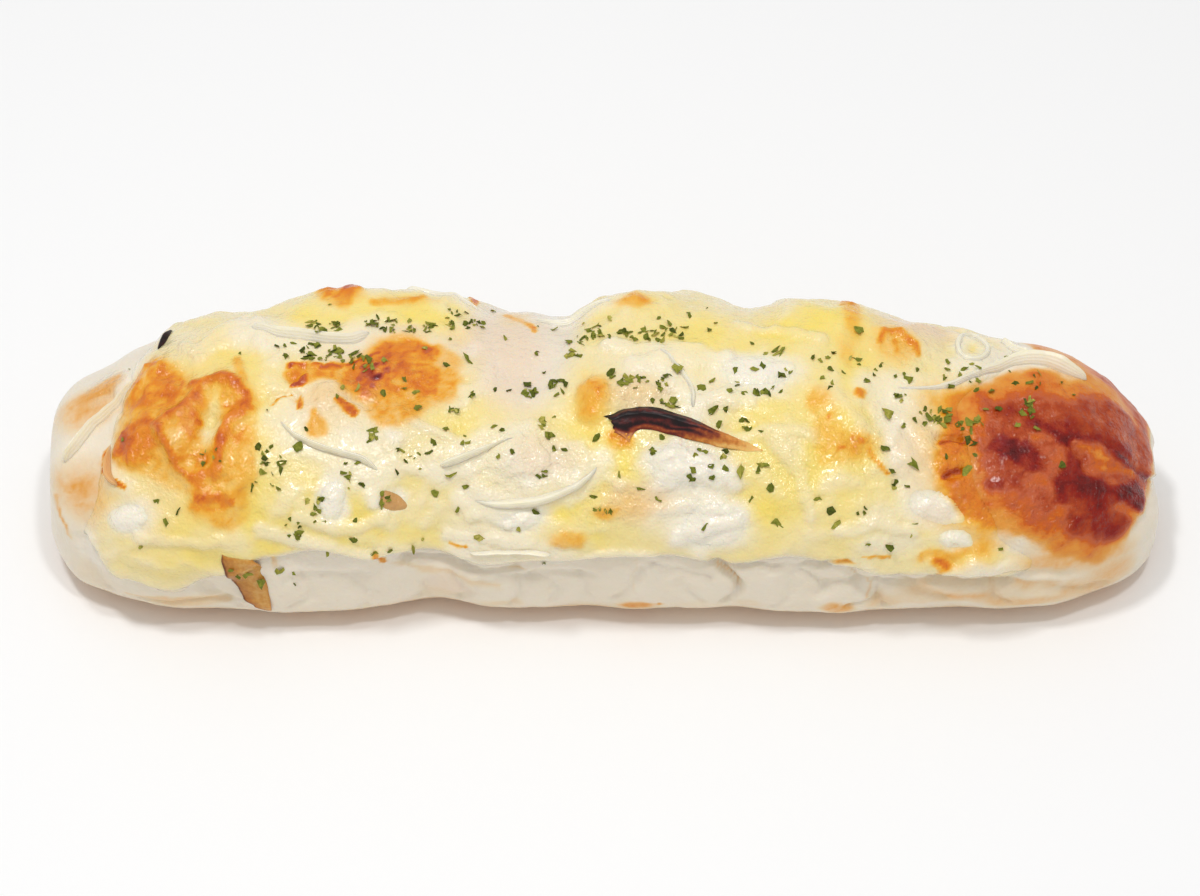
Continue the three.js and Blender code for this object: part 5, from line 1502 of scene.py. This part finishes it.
herbDrifts = [  # from x, to x, from turn, to turn, count, length mm, width share
    (-65, -59, 52, 61, 6, 1.2, 0.5), (-57, -52, 44, 61, 17, 1.9, 0.6), (-52, -49, 25, 35, 11, 1.6, 0.6),
    (-48, -45, 33, 42, 8, 1.7, 0.6), (-50, -44, 102, 113, 20, 1.9, 0.4), (-54, -40, 92, 99, 34, 1.9, 0.5),
    (-42, -38, 89, 97, 8, 2.2, 0.35), (-41, -35, 107, 113, 16, 1.6, 0.45),
    (-35, -28, 107, 112, 14, 1.6, 0.45), (-27, -23, 109, 120, 14, 1.6, 0.6),
    (-23, -20, 109, 116, 9, 1.4, 0.6), (-23, -21, 77, 81, 3, 1.5, 0.6), (-13.5, -11, 77, 85, 10, 1.7, 0.6),
    (-26, -24, 70, 73, 4, 2.0, 0.4), (-38.5, -36.5, 60, 66, 8, 1.6, 0.6), (-34, -27, 47, 60, 10, 1.5, 0.5),
    (-23, -21, 59, 63, 3, 1.5, 0.5), (-11, -8, 63, 71, 8, 1.8, 0.55), (-9, -6.5, 77, 86, 7, 2.2, 0.45),
    (-9, -6.5, 57, 60, 3, 1.4, 0.7), (-11.5, -9, 49, 52, 3, 1.4, 0.6), (-6.5, -4, 93, 98, 9, 1.5, 0.5),
    (-37, -35, 36, 43, 5, 1.6, 0.6), (-43, -39, 43, 54, 10, 1.4, 0.5), (-4, 0, 99, 108, 16, 2.0, 0.3),
    (1, 5, 99, 104, 10, 1.7, 0.5), (5, 9, 98, 104, 10, 1.7, 0.5), (9, 13.5, 98, 107, 14, 1.9, 0.35),
    (1, 11, 79, 84, 24, 1.7, 0.5), (6, 12, 72, 76, 8, 1.8, 0.5), (20, 31, 76, 90, 18, 1.7, 0.6),
    (28, 30, 93, 97, 3, 2.6, 0.22), (18, 28, 65, 75, 11, 1.6, 0.5), (7, 8.5, 55, 59, 3, 1.4, 0.6),
    (13, 19.5, 47, 58, 13, 1.6, 0.7), (24.5, 26.5, 51, 55, 4, 1.7, 0.6), (-1.5, 1.5, 35.5, 38, 6, 1.3, 0.6),
    (40.5, 42.5, 37, 41, 3, 1.6, 0.6), (33, 44, 80, 95, 14, 1.6, 0.6), (43, 62, 86, 97, 19, 1.5, 0.5),
    (67, 78, 89, 100, 9, 1.5, 0.5), (68.3, 70.6, 77, 86, 12, 1.9, 0.5), (50, 58, 71, 81, 16, 1.9, 0.6),
    (46, 49, 78, 82, 5, 1.6, 0.6), (44, 49, 46, 50, 4, 1.4, 0.6), (58, 62, 70, 76, 7, 2.0, 0.6),
    (-80, 80, 60, 125, 16, 0.9, 0.6),
]


# Dried parsley: dull dark green with olive edges, each flake its own tone, paper thin and matt.
leafLook = {
    "painted": "tone", "grain": 0.5, "spread": 0.16, "wrinkle": 0.3, "strength": 0.7, "depth": 0.05,
    "rough": 0.75, "bleedShare": 0, "bleed": 0, "shine": 0.2, "oil": 0}


def scatterHerb():
    flakes = list(herbFlakes)
    for fromX, toX, fromTurn, toTurn, count, length, width in herbDrifts:
        for each in range(count):
            size = length * rng.uniform(0.6, 1.35)
            place = rng.uniform(fromX, toX), rng.uniform(fromTurn, toTurn)
            flakes.append((*place, size, width * rng.uniform(0.6, 1.3)))
    flakes = np.array(flakes)
    x, turn, length, width = flakes.T
    length = length * herb["scale"]
    count = len(flakes)
    lifts = seatLifts(treesOf(laid), x, turn)
    out = loafNormal(x, turn)
    east = np.cross(np.array([0.0, 1.0, 0.0]), out)
    east /= np.linalg.norm(east, axis=1, keepdims=True)
    north = np.cross(out, east)
    lean, side = np.radians(rng.uniform(0, herb["tilt"], count)), rng.uniform(0, math.tau, count)
    aside = east * np.cos(side)[:, None] + north * np.sin(side)[:, None]
    upward = out * np.cos(lean)[:, None] + aside * np.sin(lean)[:, None]
    spin = rng.uniform(0, math.tau, count)
    heading = east * np.cos(spin)[:, None] + north * np.sin(spin)[:, None]
    raised = herb["clear"] + length / 2 * np.sin(lean) * 0.5
    size = length / 2 * np.sqrt(width) * mm
    stretch = np.stack([length / 2, length / 2 * width, length / 2], -1) * mm
    points = onLoaf(x, turn, lifts + raised)
    tone = np.clip(rng.normal(0.45, 0.22, count), 0.05, 0.95)
    values = {"Material": tonedFlesh("driedParsley", leafLook, herbTones)}
    vectors = {"upward": upward, "heading": heading, "stretch": stretch}
    return grow("parsleyFlakes", points, [], {"tone": tone, "size": size}, vectors, flakeTree(), values)


parsley = scatterHerb()
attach(parsley, "root")
print("parsley", len(parsley.data.polygons), "faces", flush=True)

# ---- setting ----

studio = {
    "floor": "#f7f7f7", "floorRough": 0.9, "floorReach": 3, "daylight": 0.60, "lampAim": (0, 0, 0.015)}
floorMaterial, tree = newMaterial("paleFloor")
shader = addNode(tree, "ShaderNodeBsdfPrincipled", {
    "Base Color": linear(studio["floor"]), "Roughness": studio["floorRough"]})
addNode(tree, "ShaderNodeOutputMaterial", {"Surface": shader})
floorMesh = bpy.data.meshes.new("floor")
far = studio["floorReach"]
floorMesh.from_pydata([(-far, -far, 0), (far, -far, 0), (far, far, 0), (-far, far, 0)], [], [(0, 1, 2, 3)])
floorMesh.materials.append(floorMaterial)
floor = bpy.data.objects.new("floor", floorMesh)
scene.collection.objects.link(floor)

world = bpy.data.worlds.new("softStudio")
scene.world = world
world.use_nodes = True
background = world.node_tree.nodes["Background"]
background.inputs["Color"].default_value = (1, 1, 1, 1)
background.inputs["Strength"].default_value = studio["daylight"]

lamps = {  # place in metres, width and depth, watts
    "softbox": ((-0.15, -0.05, 0.66), (0.09, 0.07), 1.3),
    "glintLamp": ((0.10, -0.15, 0.72), (0.06, 0.05), 1.0),
}
for name, (place, size, watts) in lamps.items():
    lamp = bpy.data.lights.new(name, "AREA")
    lamp.shape = "RECTANGLE"
    lamp.size, lamp.size_y = size
    lamp.energy = watts
    light = bpy.data.objects.new(name, lamp)
    scene.collection.objects.link(light)
    light.location = place
    light.rotation_euler = (Vector(studio["lampAim"]) - light.location).to_track_quat("-Z", "Y").to_euler()

# degrees, mm
view = {"elevation": 50.0, "distance": 563.3, "lens": 100.0, "sensor": 36, "aim": (-0.8, -0.8, 15.4)}
cameraData = bpy.data.cameras.new("camera")
cameraData.lens = view["lens"]
cameraData.sensor_width = view["sensor"]
camera = bpy.data.objects.new("camera", cameraData)
scene.collection.objects.link(camera)
aim = Vector((np.array(view["aim"]) + slide) * mm)
angle = math.radians(view["elevation"])
camera.location = aim + Vector((0, -math.cos(angle), math.sin(angle))) * view["distance"] * mm
camera.rotation_euler = (aim - camera.location).to_track_quat("-Z", "Y").to_euler()
scene.camera = camera
scene.view_settings.view_transform = "Standard"
